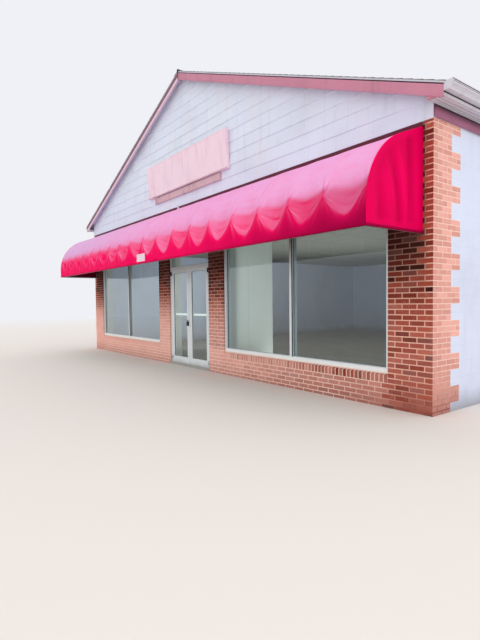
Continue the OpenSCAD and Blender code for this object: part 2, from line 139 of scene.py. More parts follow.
class WallSettings(PropertyGroup):
    """Colours of the painted walls, the floor and the ceiling."""
    paint: colour("Paint", "Colour of the painted block walls", 222, 230, 251)
    plaster: colour("Plaster", "Colour of the ceiling and the partition", 236, 238, 230)
    concrete: colour("Concrete", "Colour of the floor and the threshold", 178, 174, 168)
    soil: colour("Soil", "Colour of the dirt near the ground", 96, 82, 72)


class SidingSettings(PropertyGroup):
    """Sizes and colour of the gable siding."""
    width: length("Width", "Width of one siding board", 0.6096)
    exposure: length("Exposure", "Height of siding that shows on one board", 0.2065)
    gap: length("Gap", "Gap between two boards", 0.0015)
    butt: length("Butt", "Distance of a board's lower edge in front of the wall", 0.0195)
    top: length("Top", "Distance of a board's upper edge in front of the wall", 0.0085)
    tint: colour("Colour", "Colour of the siding", 229, 237, 252)


class RoofSettings(PropertyGroup):
    """Sizes and colours of the shingles and the roof edges."""
    tab: length("Tab", "Width of one shingle tab", 0.3048)
    exposure: length("Exposure", "Length of one tab that shows", 0.1429)
    slot: length("Slot", "Gap between two tabs", 0.007)
    butt: length("Butt", "Thickness of a tab at its lower edge", 0.008)
    overhang: length("Overhang", "Overhang of the shingles beyond the deck", 0.009)
    cap: length("Cap", "Width of one wing of the ridge shingles", 0.152)
    shingle: colour("Shingle", "Colour of the shingles", 84, 75, 76)
    blend: colour("Blend", "Colour of the lighter shingles", 118, 104, 100)
    trim: colour("Trim", "Colour of the painted trim boards", 200, 132, 154)
    frieze: colour("Frieze", "Colour of the frieze boards", 166, 104, 132)
    shaded: colour("Shaded", "Colour of the boards in deep shade", 132, 94, 110)
    metal: colour("Metal", "Colour of the gutters, fascias and edges", 212, 210, 220)


class AwningSettings(PropertyGroup):
    """Sizes and colours of the awning."""
    bays: IntProperty(name="Bays", description="Bays between the ribs", default=18, min=2, max=40)
    tube: length("Tube", "Side of the square tubes", 0.025)
    pitch: FloatProperty(name="Pitch", description="Fall of the straight part of the ribs",
                         default=math.radians(21), min=0.0, max=1.0, subtype="ANGLE",
                         unit="ROTATION")
    bend: length("Bend", "Radius that the ribs are bent to", 0.930)
    fold: length("Fold", "Height of the folds that fan out from the ribs", 0.0105)
    hem: length("Hem", "Height of the bottom hem", 0.03)
    cloth: colour("Cloth", "Colour of the cloth", 252, 0, 96)
    # This colour stands for sun fading together with a painted reflection of the sky on the slope.
    fade_and_sheen: colour("Faded", "Colour that the cloth fades to on its slope", 242, 170, 220)
    strip: colour("Strip", "Colour of the strip over the awning", 96, 14, 44)


class ShopfrontSettings(PropertyGroup):
    """Sizes and colours of the frames, doors and glass."""
    gasket: length("Gasket", "Width of the rubber round the glass", 0.007)
    bead: length("Bead", "Width of the glazing beads", 0.012)
    member: length("Member", "Face width of the frame members", 0.048)
    sill: length("Sill", "Face height of the sill member", 0.074)
    glass_back: length("Glass", "Middle of the glass behind the face of its frame", 0.040)
    glass_t: length("Pane", "Thickness of the glass", 0.008)
    enamel: colour("Enamel", "Colour of the frames", 236, 242, 246)
    bright: colour("Bright", "Colour of the sill members and push bars", 250, 255, 255)
    rubber: colour("Rubber", "Colour of the gaskets", 26, 26, 28)
    glass: colour("Glass", "Colour of the glass", 222, 234, 234)


class SignSettings(PropertyGroup):
    """Sizes and colours of the bare sign."""
    lean: length("Lean", "Distance that the top of the sign leans forward", 0.06)
    border: length("Border", "Width of the strip round the sign face", 0.024)
    face: colour("Face", "Colour of the sign face", 248, 222, 234)
    stain: colour("Stain", "Colour of the weathering on the sign", 238, 186, 200)
    strip: colour("Strip", "Colour of the narrow board", 214, 176, 184)


class StageSettings(PropertyGroup):
    """The light, the floor and the backdrop."""
    dome: FloatProperty(name="Dome", description="Strength of the light from all round",
                        default=1.01, min=0.0, max=4.0)
    key: watts("Key", "Power of the soft light on the right", 260.0)
    shop: watts("Shop", "Power of the soft light inside the shop", 140.0)
    window: watts("Window", "Power of the soft light behind a window", 17.0)
    door: watts("Door", "Power of the light that falls in at the doors", 6.5)
    wall: watts("Wall", "Power of the soft light on the far wall", 20.0)
    floor: colour("Floor", "Colour of the floor", 236, 230, 224)
    backdrop: colour("Backdrop", "Colour behind the building", 240, 241, 246)


# Shader nodes

class Nodes:
    """Places shader nodes in a tree and joins their sockets."""

    def __init__(self, tree, place=None):
        self.tree, self.place = tree, place

    def feed(self, node, inputs):
        """Links the sockets and sets the plain values among a node's inputs."""
        for name, value in inputs.items():
            if isinstance(value, bpy.types.NodeSocket):
                self.tree.links.new(value, node.inputs[name])
            else:
                node.inputs[name].default_value = value

    def add(self, kind, inputs, out=0, **settings):
        """A new node with its settings and inputs. Returns one of its outputs."""
        node = self.tree.nodes.new("ShaderNode" + kind)
        for name, value in settings.items():
            setattr(node, name, value)
        self.feed(node, inputs)
        return node.outputs[out]

    def math(self, operation, a, b=0.0, clamp=False):
        return self.add("Math", {0: a, 1: b}, operation=operation, use_clamp=clamp)

    def times(self, a, b, clamp=False):
        return self.math("MULTIPLY", a, b, clamp)

    def plus(self, a, b, clamp=False):
        return self.math("ADD", a, b, clamp)

    def less(self, a, b, clamp=False):
        return self.math("SUBTRACT", a, b, clamp)

    def most(self, a, b, clamp=False):
        return self.math("MAXIMUM", a, b, clamp)

    def over(self, base, tint, mask, part=None, blend="MIX"):
        """The base with a tint laid over it by a mask, or by a part of the mask."""
        if part is not None:
            mask = self.times(mask, part)
        return self.add("Mix", {0: mask, 6: base, 7: tint}, 2, data_type="RGBA", blend_type=blend)

    def ramp(self, value, low, high, to_low=0.0, to_high=1.0, kind="LINEAR"):
        return self.add("MapRange", {"Value": value, "From Min": low, "From Max": high,
                                     "To Min": to_low, "To Max": to_high},
                        interpolation_type=kind)

    def soft(self, value, low, high, to_low=0.0, to_high=1.0):
        return self.ramp(value, low, high, to_low, to_high, "SMOOTHSTEP")

    def noise(self, scale, detail, rough, stretch=None):
        place = self.place
        if stretch is not None:
            place = self.add("VectorMath", {0: place, 1: stretch}, operation="MULTIPLY")
        return self.add("TexNoise", {"Vector": place, "Scale": scale, "Detail": detail,
                                     "Roughness": rough}, "Fac")

    def patches(self, low, high, *grain):
        """Soft patches where a noise rises from low to high."""
        return self.soft(self.noise(*grain), low, high)

    def cells(self, scale):
        """Cells of random size: the distance to each middle, and a random value for each."""
        cells = self.tree.nodes.new("ShaderNodeTexVoronoi")
        self.feed(cells, {"Vector": self.place, "Scale": scale})
        return cells.outputs["Distance"], self.add("SeparateColor", {0: cells.outputs["Color"]})

    def attribute(self, name):
        return self.add("Attribute", {}, "Fac", attribute_name=name, attribute_type="GEOMETRY")

    def axes(self, vector=None):
        split = self.tree.nodes.new("ShaderNodeSeparateXYZ")
        self.tree.links.new(vector or self.place, split.inputs[0])
        return split.outputs[:]

    def bump(self, height, distance, strength):
        return self.add("Bump", {"Height": height, "Distance": distance, "Strength": strength})

    def group(self, name, inputs):
        """One of the shared groups, built when it is first asked for."""
        tree = bpy.data.node_groups.get(name) or build_group(name)
        return self.add("Group", inputs, node_tree=tree)

    def grain(self, scale, rough, stretch=(1, 1, 1)):
        return self.group("Grain", {"Vector": self.place, "Stretch": stretch, "Scale": scale,
                                    "Rough": rough})

    def specks(self, scale, amount):
        return self.group("Specks", {"Vector": self.place, "Scale": scale, "Amount": amount})

    def seams(self, position, module, width):
        return self.group("Seams", {"Position": position, "Module": module, "Width": width})

    def weathered(self, base, soil, height, amount, streaks, blotches):
        return self.group("Weathering", {
            "Vector": self.place, "Color": base, "Soil Color": soil, "Soil Height": height,
            "Soil": amount, "Streaks": streaks, "Blotches": blotches})

    def blend_shaders(self, output, mask, first, second):
        """Joins two shaders by a mask into an output node's surface."""
        mixed = self.add("MixShader", {0: mask, 1: first, 2: second})
        self.tree.links.new(mixed, self.tree.nodes[output].inputs["Surface"])


def weathering(n, given):
    """Dirt that rises from the ground, rain streaks and broad blotches over a colour."""
    ragged = n.noise(2.4, 9.0, 0.72, (1.0, 1.0, 0.3))
    edge = n.times(given["Soil Height"], n.ramp(ragged, 0.25, 0.75, 0.5, 1.4))
    near_ground = n.less(1.0, n.math("DIVIDE", n.axes()[2], edge), clamp=True)
    soil = n.times(n.math("POWER", near_ground, 1.3), given["Soil"])
    rain = n.times(n.patches(0.52, 0.78, 1.0, 5.0, 0.6, (9.0, 9.0, 0.45)), given["Streaks"])
    blotch = n.times(n.patches(0.45, 0.75, 0.9, 5.0, 0.6), given["Blotches"])
    mask = n.most(soil, n.most(rain, blotch), clamp=True)
    return n.over(given["Color"], given["Soil Color"], mask)


def grain(n, given):
    """Fine and coarse grain, stretched along a direction, about zero to one."""
    fine = n.noise(given["Scale"], 7.0, given["Rough"], given["Stretch"])
    return n.ramp(fine, 0.25, 0.75)


def specks(n, given):
    """Small separate specks, such as sand, iron spots or granules."""
    distance, tint = n.cells(given["Scale"])
    chosen = n.math("LESS_THAN", tint, given["Amount"])
    return n.times(chosen, n.ramp(distance, 0.45, 0.25), clamp=True)


def seams(n, given):
    """Straight joint lines across a surface at a module, about zero to one."""
    cycle = n.math("PINGPONG", given["Position"], n.times(given["Module"], 0.5))
    return n.less(1.0, n.math("DIVIDE", cycle, given["Width"]), clamp=True)


# How each shared group is built, its output, and its inputs with their kinds
GROUPS = {
    "Weathering": (weathering, "Color", "Color",
                   {"Vector": "Vector", "Color": "Color", "Soil Color": "Color",
                    "Soil Height": "Float", "Soil": "Float", "Streaks": "Float",
                    "Blotches": "Float"}),
    "Grain": (grain, "Value", "Float",
              {"Vector": "Vector", "Stretch": "Vector", "Scale": "Float", "Rough": "Float"}),
    "Specks": (specks, "Mask", "Float", {"Vector": "Vector", "Scale": "Float", "Amount": "Float"}),
    "Seams": (seams, "Mask", "Float", {"Position": "Float", "Module": "Float", "Width": "Float"}),
}


def build_group(name):
    """A shared shader group: its sockets first, then its nodes."""
    build, label, kind, sockets = GROUPS[name]
    tree = bpy.data.node_groups.new(name, "ShaderNodeTree")
    for socket, sort in sockets.items():
        tree.interface.new_socket(socket, in_out="INPUT", socket_type="NodeSocket" + sort)
    tree.interface.new_socket(label, in_out="OUTPUT", socket_type="NodeSocket" + kind)
    given = tree.nodes.new("NodeGroupInput").outputs
    leave = tree.nodes.new("NodeGroupOutput")
    n = Nodes(tree, given.get("Vector"))
    n.feed(leave, {label: build(n, given)})
    return tree


# Finishes: each function gives the inputs of the Principled shader

class Finish(Nodes):
    """A new material. Its place is in the building's own metres on every piece."""

    def __init__(self, name):
        self.material = bpy.data.materials.new(name)
        self.material.use_nodes = True
        super().__init__(self.material.node_tree)
        self.shader = self.tree.nodes["Principled BSDF"]
        self.place = self.add("TexCoord", {}, "Object")
        self.soil = tuple(bpy.context.scene.shop_walls.soil)


def scaled(tint, part):
    """A lighter or darker form of a colour."""
    return [min(value * part, 1) for value in tint[:3]] + [1.0]


def fired_clay(n, s):
    """A tone for each brick, iron spots, a sandy skin and dirt near the ground, with painted light
    and shade.
    """
    across = n.math("ABSOLUTE", n.axes()[0])
    # Painted light: the faces on the corner returns get a lighter tone and more paleness than the
    # front, as on a lit side.
    side = n.ramp(across, HALF_W + 0.0006, HALF_W + 0.0022)
    tone = n.plus(n.times(n.attribute("tone"), n.ramp(side, 0, 1, 1.0, 0.3)),
                  n.times(side, 0.36))
    pale = n.most(n.attribute("pale"), n.times(side, 0.62))
    ramp = n.tree.nodes.new("ShaderNodeValToRGB")
    stops = ramp.color_ramp.elements
    for index, (at, value) in enumerate(((0.0, s.dark), (0.24, s.deep), (0.56, s.red),
                                         (1.0, s.light))):
        stop = stops[index] if index < 2 else stops.new(at)
        stop.position, stop.color = at, value
    n.feed(ramp, {0: tone})
    clay = ramp.outputs[0]
    mottle = n.grain(22.0, 0.7)
    base = n.over(clay, n.over(clay, s.deep, mottle, 0.42, "MULTIPLY"), mottle, 0.30)
    haze = n.times(n.patches(0.50, 0.78, 11.0, 6.0, 0.7), n.ramp(tone, 0.1, 0.5, 0.03, 0.22))
    base = n.over(base, s.bleached, n.plus(haze, n.times(pale, 0.95), clamp=True))
    base = n.over(base, srgb(74, 44, 42), n.specks(260.0, 0.16), 0.45)
    sand = n.grain(190.0, 0.65, (1, 1, 2.2))
    dents = n.ramp(n.noise(34.0, 3.0, 0.5), 0.30, 0.42)
    return {"Base Color": n.weathered(base, srgb(112, 64, 56), 0.34, 0.45, 0.06, 0.08),
            "Roughness": n.ramp(mottle, 0, 1, 0.76, 0.93), "Specular IOR Level": 0.08,
            "Normal": n.bump(n.plus(n.times(sand, 0.45), n.times(dents, 0.8)), 0.0016, 0.75)}


def sanded_mortar(n, base):
    """Sanded lime mortar, washed thin in places and dirty near the ground, with painted shade and
    light.
    """
    right, along, up = n.axes()
    across = n.math("ABSOLUTE", right)
    sand = n.grain(240.0, 0.7)
    base = n.over(base, srgb(220, 164, 148), sand, 0.25)
    base = n.over(base, srgb(250, 208, 190), n.patches(0.40, 0.70, 7.0, 6.0, 0.7), 0.35)
    # Painted shade: the mortar of the front darkens from 1.05 m up to 2.2 m, under the awning.
    under = n.times(n.ramp(across, HALF_W - 0.06, HALF_W - 0.12),
                    n.ramp(along, FACE_Y + 0.10, FACE_Y + 0.09))
    base = n.over(base, srgb(92, 50, 44), n.times(n.soft(up, 1.05, 2.2), under), 0.84)
    # Painted light: the mortar on the corner returns is paler.
    returns = n.ramp(across, HALF_W - 0.003, HALF_W - 0.001, 0.0, 0.6)
    base = n.over(base, srgb(255, 224, 214), returns)
    # Painted light: paler low down on the front, inward of the corner piers.
    lit = n.times(n.ramp(up, 1.5, 0.7),
                  n.ramp(across, CORNER_IN + 0.15, CORNER_IN - 0.15, 0.0, 0.85))
    base = n.over(base, srgb(255, 224, 208), lit)
    base = n.weathered(base, srgb(156, 76, 62), n.ramp(right, 4.2, 5.4, 0.30, 0.60),
                       n.ramp(right, 4.0, 5.3, 0.12, 1.0), 0.08, 0.10)
    inner = n.times(n.ramp(along, FACE_Y + 0.12, FACE_Y + 0.13),
                    n.ramp(across, HALF_W - 0.12, HALF_W - 0.13))
    return {"Base Color": n.over(base, srgb(222, 222, 216), inner), "Roughness": 0.93,
            "Specular IOR Level": 0.08, "Normal": n.bump(sand, 0.002, 0.8)}


def masonry_paint(n, base):
    """Paint over block: roller stipple, faint block joints, dirt and rain streaks."""
    across, along, up = n.axes()
    roller = n.grain(90.0, 0.6, (1, 1, 0.7))
    tint = n.over(base, scaled(base, 0.93), n.patches(0.35, 0.7, 0.7, 4.0, 0.5), 0.35)
    tint = n.weathered(tint, n.soil, 0.35, 0.55, 0.10, 0.10)
    odd = n.math("FLOORED_MODULO", n.math("FLOOR", n.math("DIVIDE", up, BLOCK)), 2.0)
    run = n.plus(n.plus(across, along), n.times(odd, BLOCK))
    joints = n.most(n.seams(up, BLOCK, 0.006), n.seams(run, 2 * BLOCK, 0.006))
    relief = n.less(n.times(roller, 0.5), n.times(joints, 0.55))
    return {"Base Color": n.over(tint, n.soil, joints, 0.07),
            "Roughness": n.ramp(roller, 0, 1, 0.52, 0.68), "Specular IOR Level": 0.35,
            "Normal": n.bump(relief, 0.0008, 0.6)}


def weathered_siding(n, tint):
    """Fibre-cement boards: pressed vertical grain, a tone for each, faint streaks."""
    pressed = n.grain(130.0, 0.6, (1, 1, 0.04))
    base = n.over(tint, scaled(tint, 0.90), n.attribute("tone"), 0.55)
    base = n.over(base, scaled(tint, 0.72), pressed, 0.16)
    chalk = n.patches(0.45, 0.75, 3.2, 6.0, 0.65, (1, 1, 0.3))
    base = n.over(base, srgb(236, 226, 232), chalk, 0.30)
    return {"Base Color": n.weathered(base, n.soil, 0.01, 0.0, 0.16, 0.10),
            "Roughness": n.ramp(pressed, 0, 1, 0.62, 0.80), "Specular IOR Level": 0.35,
            "Normal": n.bump(pressed, 0.0012, 0.7)}


def painted_board(n, base, wear, streaks=0.25, painted_soffit_shade=0.0, pale=0.0):
    """Painted boards: brush marks, dust, thin paint that shows the wood, and painted shade up high.
    """
    across, _, up = n.axes()
    brush = n.grain(160.0, 0.6, (0.12, 0.12, 1.0))
    tint = n.over(base, scaled(base, 1.25), n.patches(0.40, 0.72, 2.3, 6.0, 0.65), 0.35)
    bare = n.ramp(n.noise(17.0, 8.0, 0.75), 0.64, 0.70)
    tint = n.over(tint, srgb(150, 128, 120), bare, wear)
    tint = n.over(tint, scaled(base, 0.7), brush, 0.14)
    tint = n.weathered(tint, n.soil, 0.01, 0.0, streaks, 0.15)
    if pale:
        tint = n.over(tint, srgb(240, 214, 226), n.ramp(across, -0.01, -0.02, 0.0, pale))
    # Painted shade: the frieze darkens towards its top, under the soffit.
    if painted_soffit_shade:
        high = n.soft(up, FRIEZE_LOW.z + 0.03, FRIEZE_HIGH.z - 0.02, 0.0, painted_soffit_shade)
        tint = n.over(tint, srgb(64, 20, 40), high)
    relief = n.less(n.times(brush, 0.5), n.times(bare, 0.6))
    return {"Base Color": tint, "Roughness": n.ramp(brush, 0, 1, 0.5, 0.7),
            "Specular IOR Level": 0.35, "Normal": n.bump(relief, 0.0008, 0.7)}


def factory_enamel(n, base, dirt, roughness=0.32, shade=0.0):
    """Enamel on metal: an even skin with slight waves, dust and rubbed dirt, and painted shade up
    high.
    """
    rubbed = n.grain(14.0, 0.7, (1, 1, 0.5))
    tint = n.over(base, scaled(base, 0.80), rubbed, 0.16)
    if shade:
        # Painted shade: darker from 1.75 m up to 2.35 m, where the awning shades the frames.
        tint = n.over(tint, srgb(112, 106, 92), n.ramp(n.axes()[2], 1.75, 2.35, 0.0, shade))
    return {"Base Color": n.weathered(tint, n.soil, 0.16, 0.55, dirt, dirt * 0.7),
            "Roughness": n.ramp(rubbed, 0, 1, roughness, roughness + 0.22),
            "Normal": n.bump(n.grain(420.0, 0.5), 0.0002, 0.35)}


def awning_cloth(n, s):
    """Coated cloth: a fine weave, seams, sun fading with painted light and reflection, and painted
    shade.
    """
    uv = n.add("UVMap", {}, uv_map="cloth")
    run, fall, _ = n.axes(uv)
    threads, picks = (n.add("TexWave", {"Vector": uv, "Scale": 110.0, "Distortion": 0.6,
                                        "Detail": 1.0}, "Fac", bands_direction=axis)
                      for axis in "XY")
    # The sheet's paleness attribute holds sun fading with painted light on the slope and crests and
    # painted shade in the fold hollows; the ends' attribute is painted shade in their folds.
    fade_and_light, shaded = n.attribute("fade_and_light"), n.attribute("shaded")
    patchy = n.ramp(n.noise(5.0, 6.0, 0.7, (1, 1, 0.6)), 0.3, 0.7, 0.86, 1.08)
    fade_and_sheen = n.times(fade_and_light, patchy, clamp=True)
    seam = n.seams(run, 1.8145, 0.006)
    stitch = n.seams(n.less(fall, s.hem), 40.0, 0.003)
    dust = n.patches(0.55, 0.80, 6.0, 7.0, 0.7, (1, 0.4, 0.4))
    side = n.axes()[0]
    plain = n.ramp(shaded, 0.0, 0.04, 0.80, 0.0)
    # Painted shade: the lower front darkens towards the right end, most in its lower right corner.
    near = n.times(n.ramp(side, 3.5, 5.0, 0.0, 0.45), n.ramp(fall, 0.58, 0.50))
    right = n.times(n.ramp(side, 1.5, 5.2), n.ramp(fall, 0.42, 0.10))
    # Darker towards the bottom edge and along the hem's lower edge.
    low = n.most(n.ramp(fall, 0.08, 0.0, 0.0, 0.30), n.ramp(fall, 0.014, 0.010, 0, 0.7))
    # Painted shade on the cloth's inner side.
    inside = n.add("NewGeometry", {}, "Backfacing")
    base = s.cloth
    for tint, mask in (
            # Sun fading with a painted sky reflection on the slope, by the sheet's paleness.
            (s.fade_and_sheen, fade_and_sheen),
            (srgb(128, 0, 44), n.most(n.times(seam, 0.35), n.times(stitch, 0.55))),
            (srgb(222, 184, 208), n.times(dust, n.times(fade_and_light, 0.16))),
            (srgb(150, 0, 46), shaded),
            # Painted reflection: a lilac sky sheen over the paled cloth, growing towards the left
            # end.
            (srgb(206, 186, 228), n.times(n.ramp(side, 0.0, -5.0, 0.0, 0.55), fade_and_sheen)),
            (srgb(160, 20, 76), n.times(near, plain)),
            (srgb(150, 0, 58), n.times(right, plain)),
            (srgb(112, 0, 42), low),
            (srgb(40, 4, 16), n.times(inside, 0.8))):
        base = n.over(base, tint, mask)
    cloud = n.patches(0.38, 0.72, 1.6, 6.0, 0.65)
    relief = n.plus(n.times(threads, picks), n.times(seam, 2.5))
    return {"Base Color": base, "Roughness": n.ramp(cloud, 0, 1, 0.46, 0.58),
            "Specular IOR Level": 0.015, "Normal": n.bump(relief, 0.0006, 0.35)}


def mineral_shingles(n, s):
    """Coloured granules, a tone for each tab and pale deck edges under the tabs."""
    distance, grey = n.cells(420.0)
    base = n.over(s.shingle, s.blend, n.attribute("tone"))
    base = n.over(base, srgb(150, 140, 136), n.ramp(grey, 0.72, 0.80))
    base = n.over(base, srgb(38, 32, 34), n.ramp(grey, 0.20, 0.12))
    base = n.weathered(base, srgb(52, 48, 46), 0.01, 0.0, 0.22, 0.28)
    across, _, up = n.axes()
    depth = n.less(RIDGE_Z, n.plus(up, n.times(n.math("ABSOLUTE", across), SLOPE_TAN)))
    return {"Base Color": n.over(base, srgb(240, 222, 232), n.ramp(depth, 0.015, 0.02)),
            "Roughness": 0.94, "Specular IOR Level": 0.25,
            "Normal": n.bump(n.ramp(distance, 0.0, 0.6), 0.0018, 0.8)}


def trowelled_concrete(n, base):
    """Concrete with pits, stains and wear."""
    cloud = n.ramp(n.noise(2.6, 8.0, 0.65), 0.35, 0.70)
    pits = n.specks(120.0, 0.10)
    tint = n.over(base, scaled(base, 0.66), cloud, 0.5)
    return {"Base Color": n.over(tint, srgb(92, 86, 80), pits, 0.5),
            "Roughness": n.ramp(cloud, 0, 1, 0.70, 0.88),
            "Normal": n.bump(n.less(n.grain(160.0, 0.7), pits), 0.001, 0.6)}


def emulsion(n, tint, joint):
    """Matt emulsion on boards, with faint joints at the board module."""
    across, along, _ = n.axes()
    felt = n.grain(120.0, 0.6)
    joints = n.most(n.seams(across, 1.2192, 0.020), n.seams(along, 0.6096, 0.020))
    base = n.over(tint, srgb(96, 96, 90), joints, joint)
    return {"Base Color": n.weathered(base, srgb(150, 140, 124), 0.3, 0.3, 0.05, 0.10),
            "Roughness": n.ramp(felt, 0, 1, 0.82, 0.92),
            "Normal": n.bump(n.less(felt, joints), 0.0008, 0.5)}


def steel(n, base, metallic=1.0, roughness=0.42, low=0.0):
    """Dipped or painted steel with a soft spangle and dull spots."""
    spangle = n.cells(90.0)[1]
    dull = n.patches(0.55, 0.72, 9.0, 7.0, 0.7)
    tint = n.over(base, scaled(base, 0.7), spangle, 0.18)
    tint = n.over(tint, srgb(118, 92, 78), dull, 0.45)
    if low:
        tint = n.over(tint, srgb(206, 208, 214), n.ramp(n.axes()[2], 0.6, 0.4, 0.0, low))
    rough = n.plus(n.plus(n.times(spangle, 0.1), roughness), n.times(dull, 0.3))
    return {"Base Color": tint, "Metallic": metallic, "Roughness": rough,
            "Normal": n.bump(dull, 0.0003, 0.4)}


def glazing_rubber(n, base):
    """Black rubber, greyed by dust."""
    dust = n.grain(60.0, 0.7, (1, 1, 0.3))
    return {"Base Color": n.over(base, srgb(92, 90, 88), dust, 0.35),
            "Roughness": n.ramp(dust, 0, 1, 0.45, 0.75), "Normal": n.bump(dust, 0.0002, 0.3)}


def float_glass(n, tint):
    """Clear float glass that lets the lamps through, with a film of dust low down."""
    path = n.tree.nodes.new("ShaderNodeLightPath").outputs
    n.blend_shaders("Material Output", n.most(path["Is Shadow Ray"], path["Is Diffuse Ray"]),
                    n.shader.outputs[0], n.add("BsdfTransparent", {"Color": tint}))
    film = n.patches(0.45, 0.8, 5.0, 6.0, 0.7, (1, 1, 0.5))
    return {"Base Color": tint, "Roughness": n.ramp(film, 0, 1, 0.0, 0.035),
            "Transmission Weight": 1.0, "IOR": 1.5}


def sign_paint(n, base, stain, amount):
    """A bare sign face: chalked paint, washed stains and streaks."""
    run = n.patches(0.42, 0.72, 4.5, 7.0, 0.7, (1.4, 1, 0.5))
    broad = n.patches(0.35, 0.65, 1.7, 4.0, 0.6)
    tint = n.over(base, stain, n.times(run, broad), amount)
    grit = n.grain(130.0, 0.65, (1, 1, 0.6))
    tint = n.over(tint, scaled(base, 0.75), grit, 0.10)
    return {"Base Color": n.weathered(tint, n.soil, 0.01, 0.0, 0.20, 0.12),
            "Roughness": n.ramp(run, 0, 1, 0.38, 0.6), "Normal": n.bump(grit, 0.0004, 0.5)}


def finishes(scene):
    """Every finish: its material slot, how it is made, and what that is given."""
    walls, roof, front, sign = (scene.shop_walls, scene.shop_roof, scene.shop_front,
                                scene.shop_sign)
    return {
        "Fired clay brick": ("brick", fired_clay, scene.shop_bricks),
        "Sanded mortar": ("brick", sanded_mortar, scene.shop_bricks.mortar),
        "Painted block": ("wall_paint", masonry_paint, walls.paint),
        "Weathered siding": ("siding", weathered_siding, scene.shop_siding.tint),
        "Painted trim": ("trim", painted_board, roof.trim, 0.5, 0.25, 0.0, 0.85),
        # The frieze trim's last value is the painted shade at its top.
        "Frieze trim": ("trim", painted_board, roof.frieze, 0.3, 0.25, 0.75),
        "Shaded trim": ("trim", painted_board, roof.shaded, 0.2),
        # Dark strips for the ridge joints, and painted shadow in gaps and under edges of the trim.
        "Dark joints and painted shadow": ("trim", painted_board, srgb(62, 30, 42), 0.1),
        "Strip paint": ("trim", painted_board, scene.shop_awning.strip, 0.25, 0.1),
        "White metal": ("white_metal", factory_enamel, roof.metal, 0.22, 0.4),
        "Frame enamel": ("white_metal", factory_enamel, front.enamel, 0.10, 0.32, 0.5),
        "Mullion enamel": ("white_metal", factory_enamel, front.enamel, 0.10, 0.32, 0.9),
        "Bright enamel": ("white_metal", factory_enamel, front.bright, 0.05),
        "Coated awning cloth": ("awning", awning_cloth, scene.shop_awning),
        "Mineral shingles": ("roof", mineral_shingles, roof),
        "Trowelled concrete": ("concrete", trowelled_concrete, walls.concrete),
        "Emulsion on plasterboard": ("plaster", emulsion, walls.plaster, 0.12),
        "Grey ceiling boards": ("plaster", emulsion, srgb(160, 158, 150), 0.75),
        "Dipped steel": ("steel", steel, srgb(176, 178, 182)),
        "Dark steel": ("steel", steel, srgb(58, 52, 52), 0.6, 0.5, 0.9),
        "Black enamel": ("lock", steel, srgb(20, 20, 22), 0.0, 0.35),
        "Glazing rubber": ("lock", glazing_rubber, front.rubber),
        "Clear float glass": ("glass", float_glass, front.glass),
        "Sign face": ("panel", sign_paint, sign.face, sign.stain, 0.55),
        "Sign strip": ("panel", sign_paint, sign.strip, srgb(150, 100, 112), 0.8),
    }


def finish(name):
    """The named finish, made when it is first asked for, and its material slot."""
    slot, build, *given = finishes(bpy.context.scene)[name]
    if name not in bpy.data.materials:
        n = Finish(name)
        n.feed(n.shader, build(n, *given))
    return bpy.data.materials[name], slot


# Mesh tools

def smooth(value, low, high):
    """Zero below low, one above high, and an even S between them."""
    k = min(max((value - low) / (high - low), 0.0), 1.0)
    return k * k * (3 - 2 * k)


def clamp(value, low=0.0, high=1.0):
    return min(max(value, low), high)


def add_box(bm, low, high, turn=None):
    """A box between two opposite corners. Returns its vertices."""
    low, high = (Vector(corner) for corner in zip(*map(sorted, zip(low, high))))
    place = Matrix.Translation((low + high) / 2)
    if turn is not None:
        place = place @ turn
    size = Matrix.Diagonal((*(high - low), 1.0))
    return bmesh.ops.create_cube(bm, size=1.0, matrix=place @ size)["verts"]


def add_stub(bm, place, radius, tip, depth, turn=None, segments=8):
    """A short round stub, such as a nail head, along Z or turned from it."""
    matrix = Matrix.Translation(place)
    if turn is not None:
        matrix = matrix @ Matrix.Rotation(turn, 4, "X")
    bmesh.ops.create_cone(bm, cap_ends=True, segments=segments, radius1=radius, radius2=tip,
                          depth=depth, matrix=matrix)


def face_out(bm, outward):
    """Turns the faces of an open sheet to one side."""
    bmesh.ops.recalc_face_normals(bm, faces=bm.faces)
    if sum((face.normal * face.calc_area() for face in bm.faces), Vector()).dot(outward) < 0:
        bmesh.ops.reverse_faces(bm, faces=bm.faces)


def tube_along(bm, points, radius, segments):
    """A closed round tube through the points."""
    places = []
    for index, point in enumerate(points):
        ahead = points[min(index + 1, len(points) - 1)] - points[max(index - 1, 0)]
        places.append(Matrix.Translation(point)
                      @ ahead.to_track_quat("Z", "X").to_matrix().to_4x4())
    ring = bmesh.ops.create_circle(bm, cap_ends=True, segments=segments, radius=radius,
                                   matrix=places[0])["verts"]
    edges = list(dict.fromkeys(edge for vert in ring for edge in vert.link_edges))
    for before, place in zip(places, places[1:]):
        grown = bmesh.ops.extrude_edge_only(bm, edges=edges)["geom"]
        edges = [part for part in grown if isinstance(part, bmesh.types.BMEdge)]
        ring = [part for part in grown if isinstance(part, bmesh.types.BMVert)]
        bmesh.ops.transform(bm, matrix=place @ before.inverted(), verts=ring)
    bmesh.ops.edgeloop_fill(bm, edges=edges)
    bmesh.ops.recalc_face_normals(bm, faces=bm.faces)


def ease(bm, edges, width, segments=1):
    """Rounds the edges a little."""
    bmesh.ops.bevel(bm, geom=list(edges), offset=width, offset_type="OFFSET", segments=segments,
                    profile=0.5, affect="EDGES", material=-1, clamp_overlap=True)


def cut(bm, normal, height=0.0, clear=False):
    """Cuts along a plane at a height over the middle, and may take away what lies beyond it."""
    bmesh.ops.bisect_plane(bm, geom=bm.verts[:] + bm.edges[:] + bm.faces[:], dist=1e-6,
                           plane_co=(0, 0, height), plane_no=normal, clear_outer=clear)


def fold_at_ridge(bm):
    """Bends flat members down both slopes of the roof from the ridge."""
    cut(bm, (1, 0, 0))
    for corner in bm.verts:
        corner.co.z -= SLOPE_TAN * abs(corner.co.x)


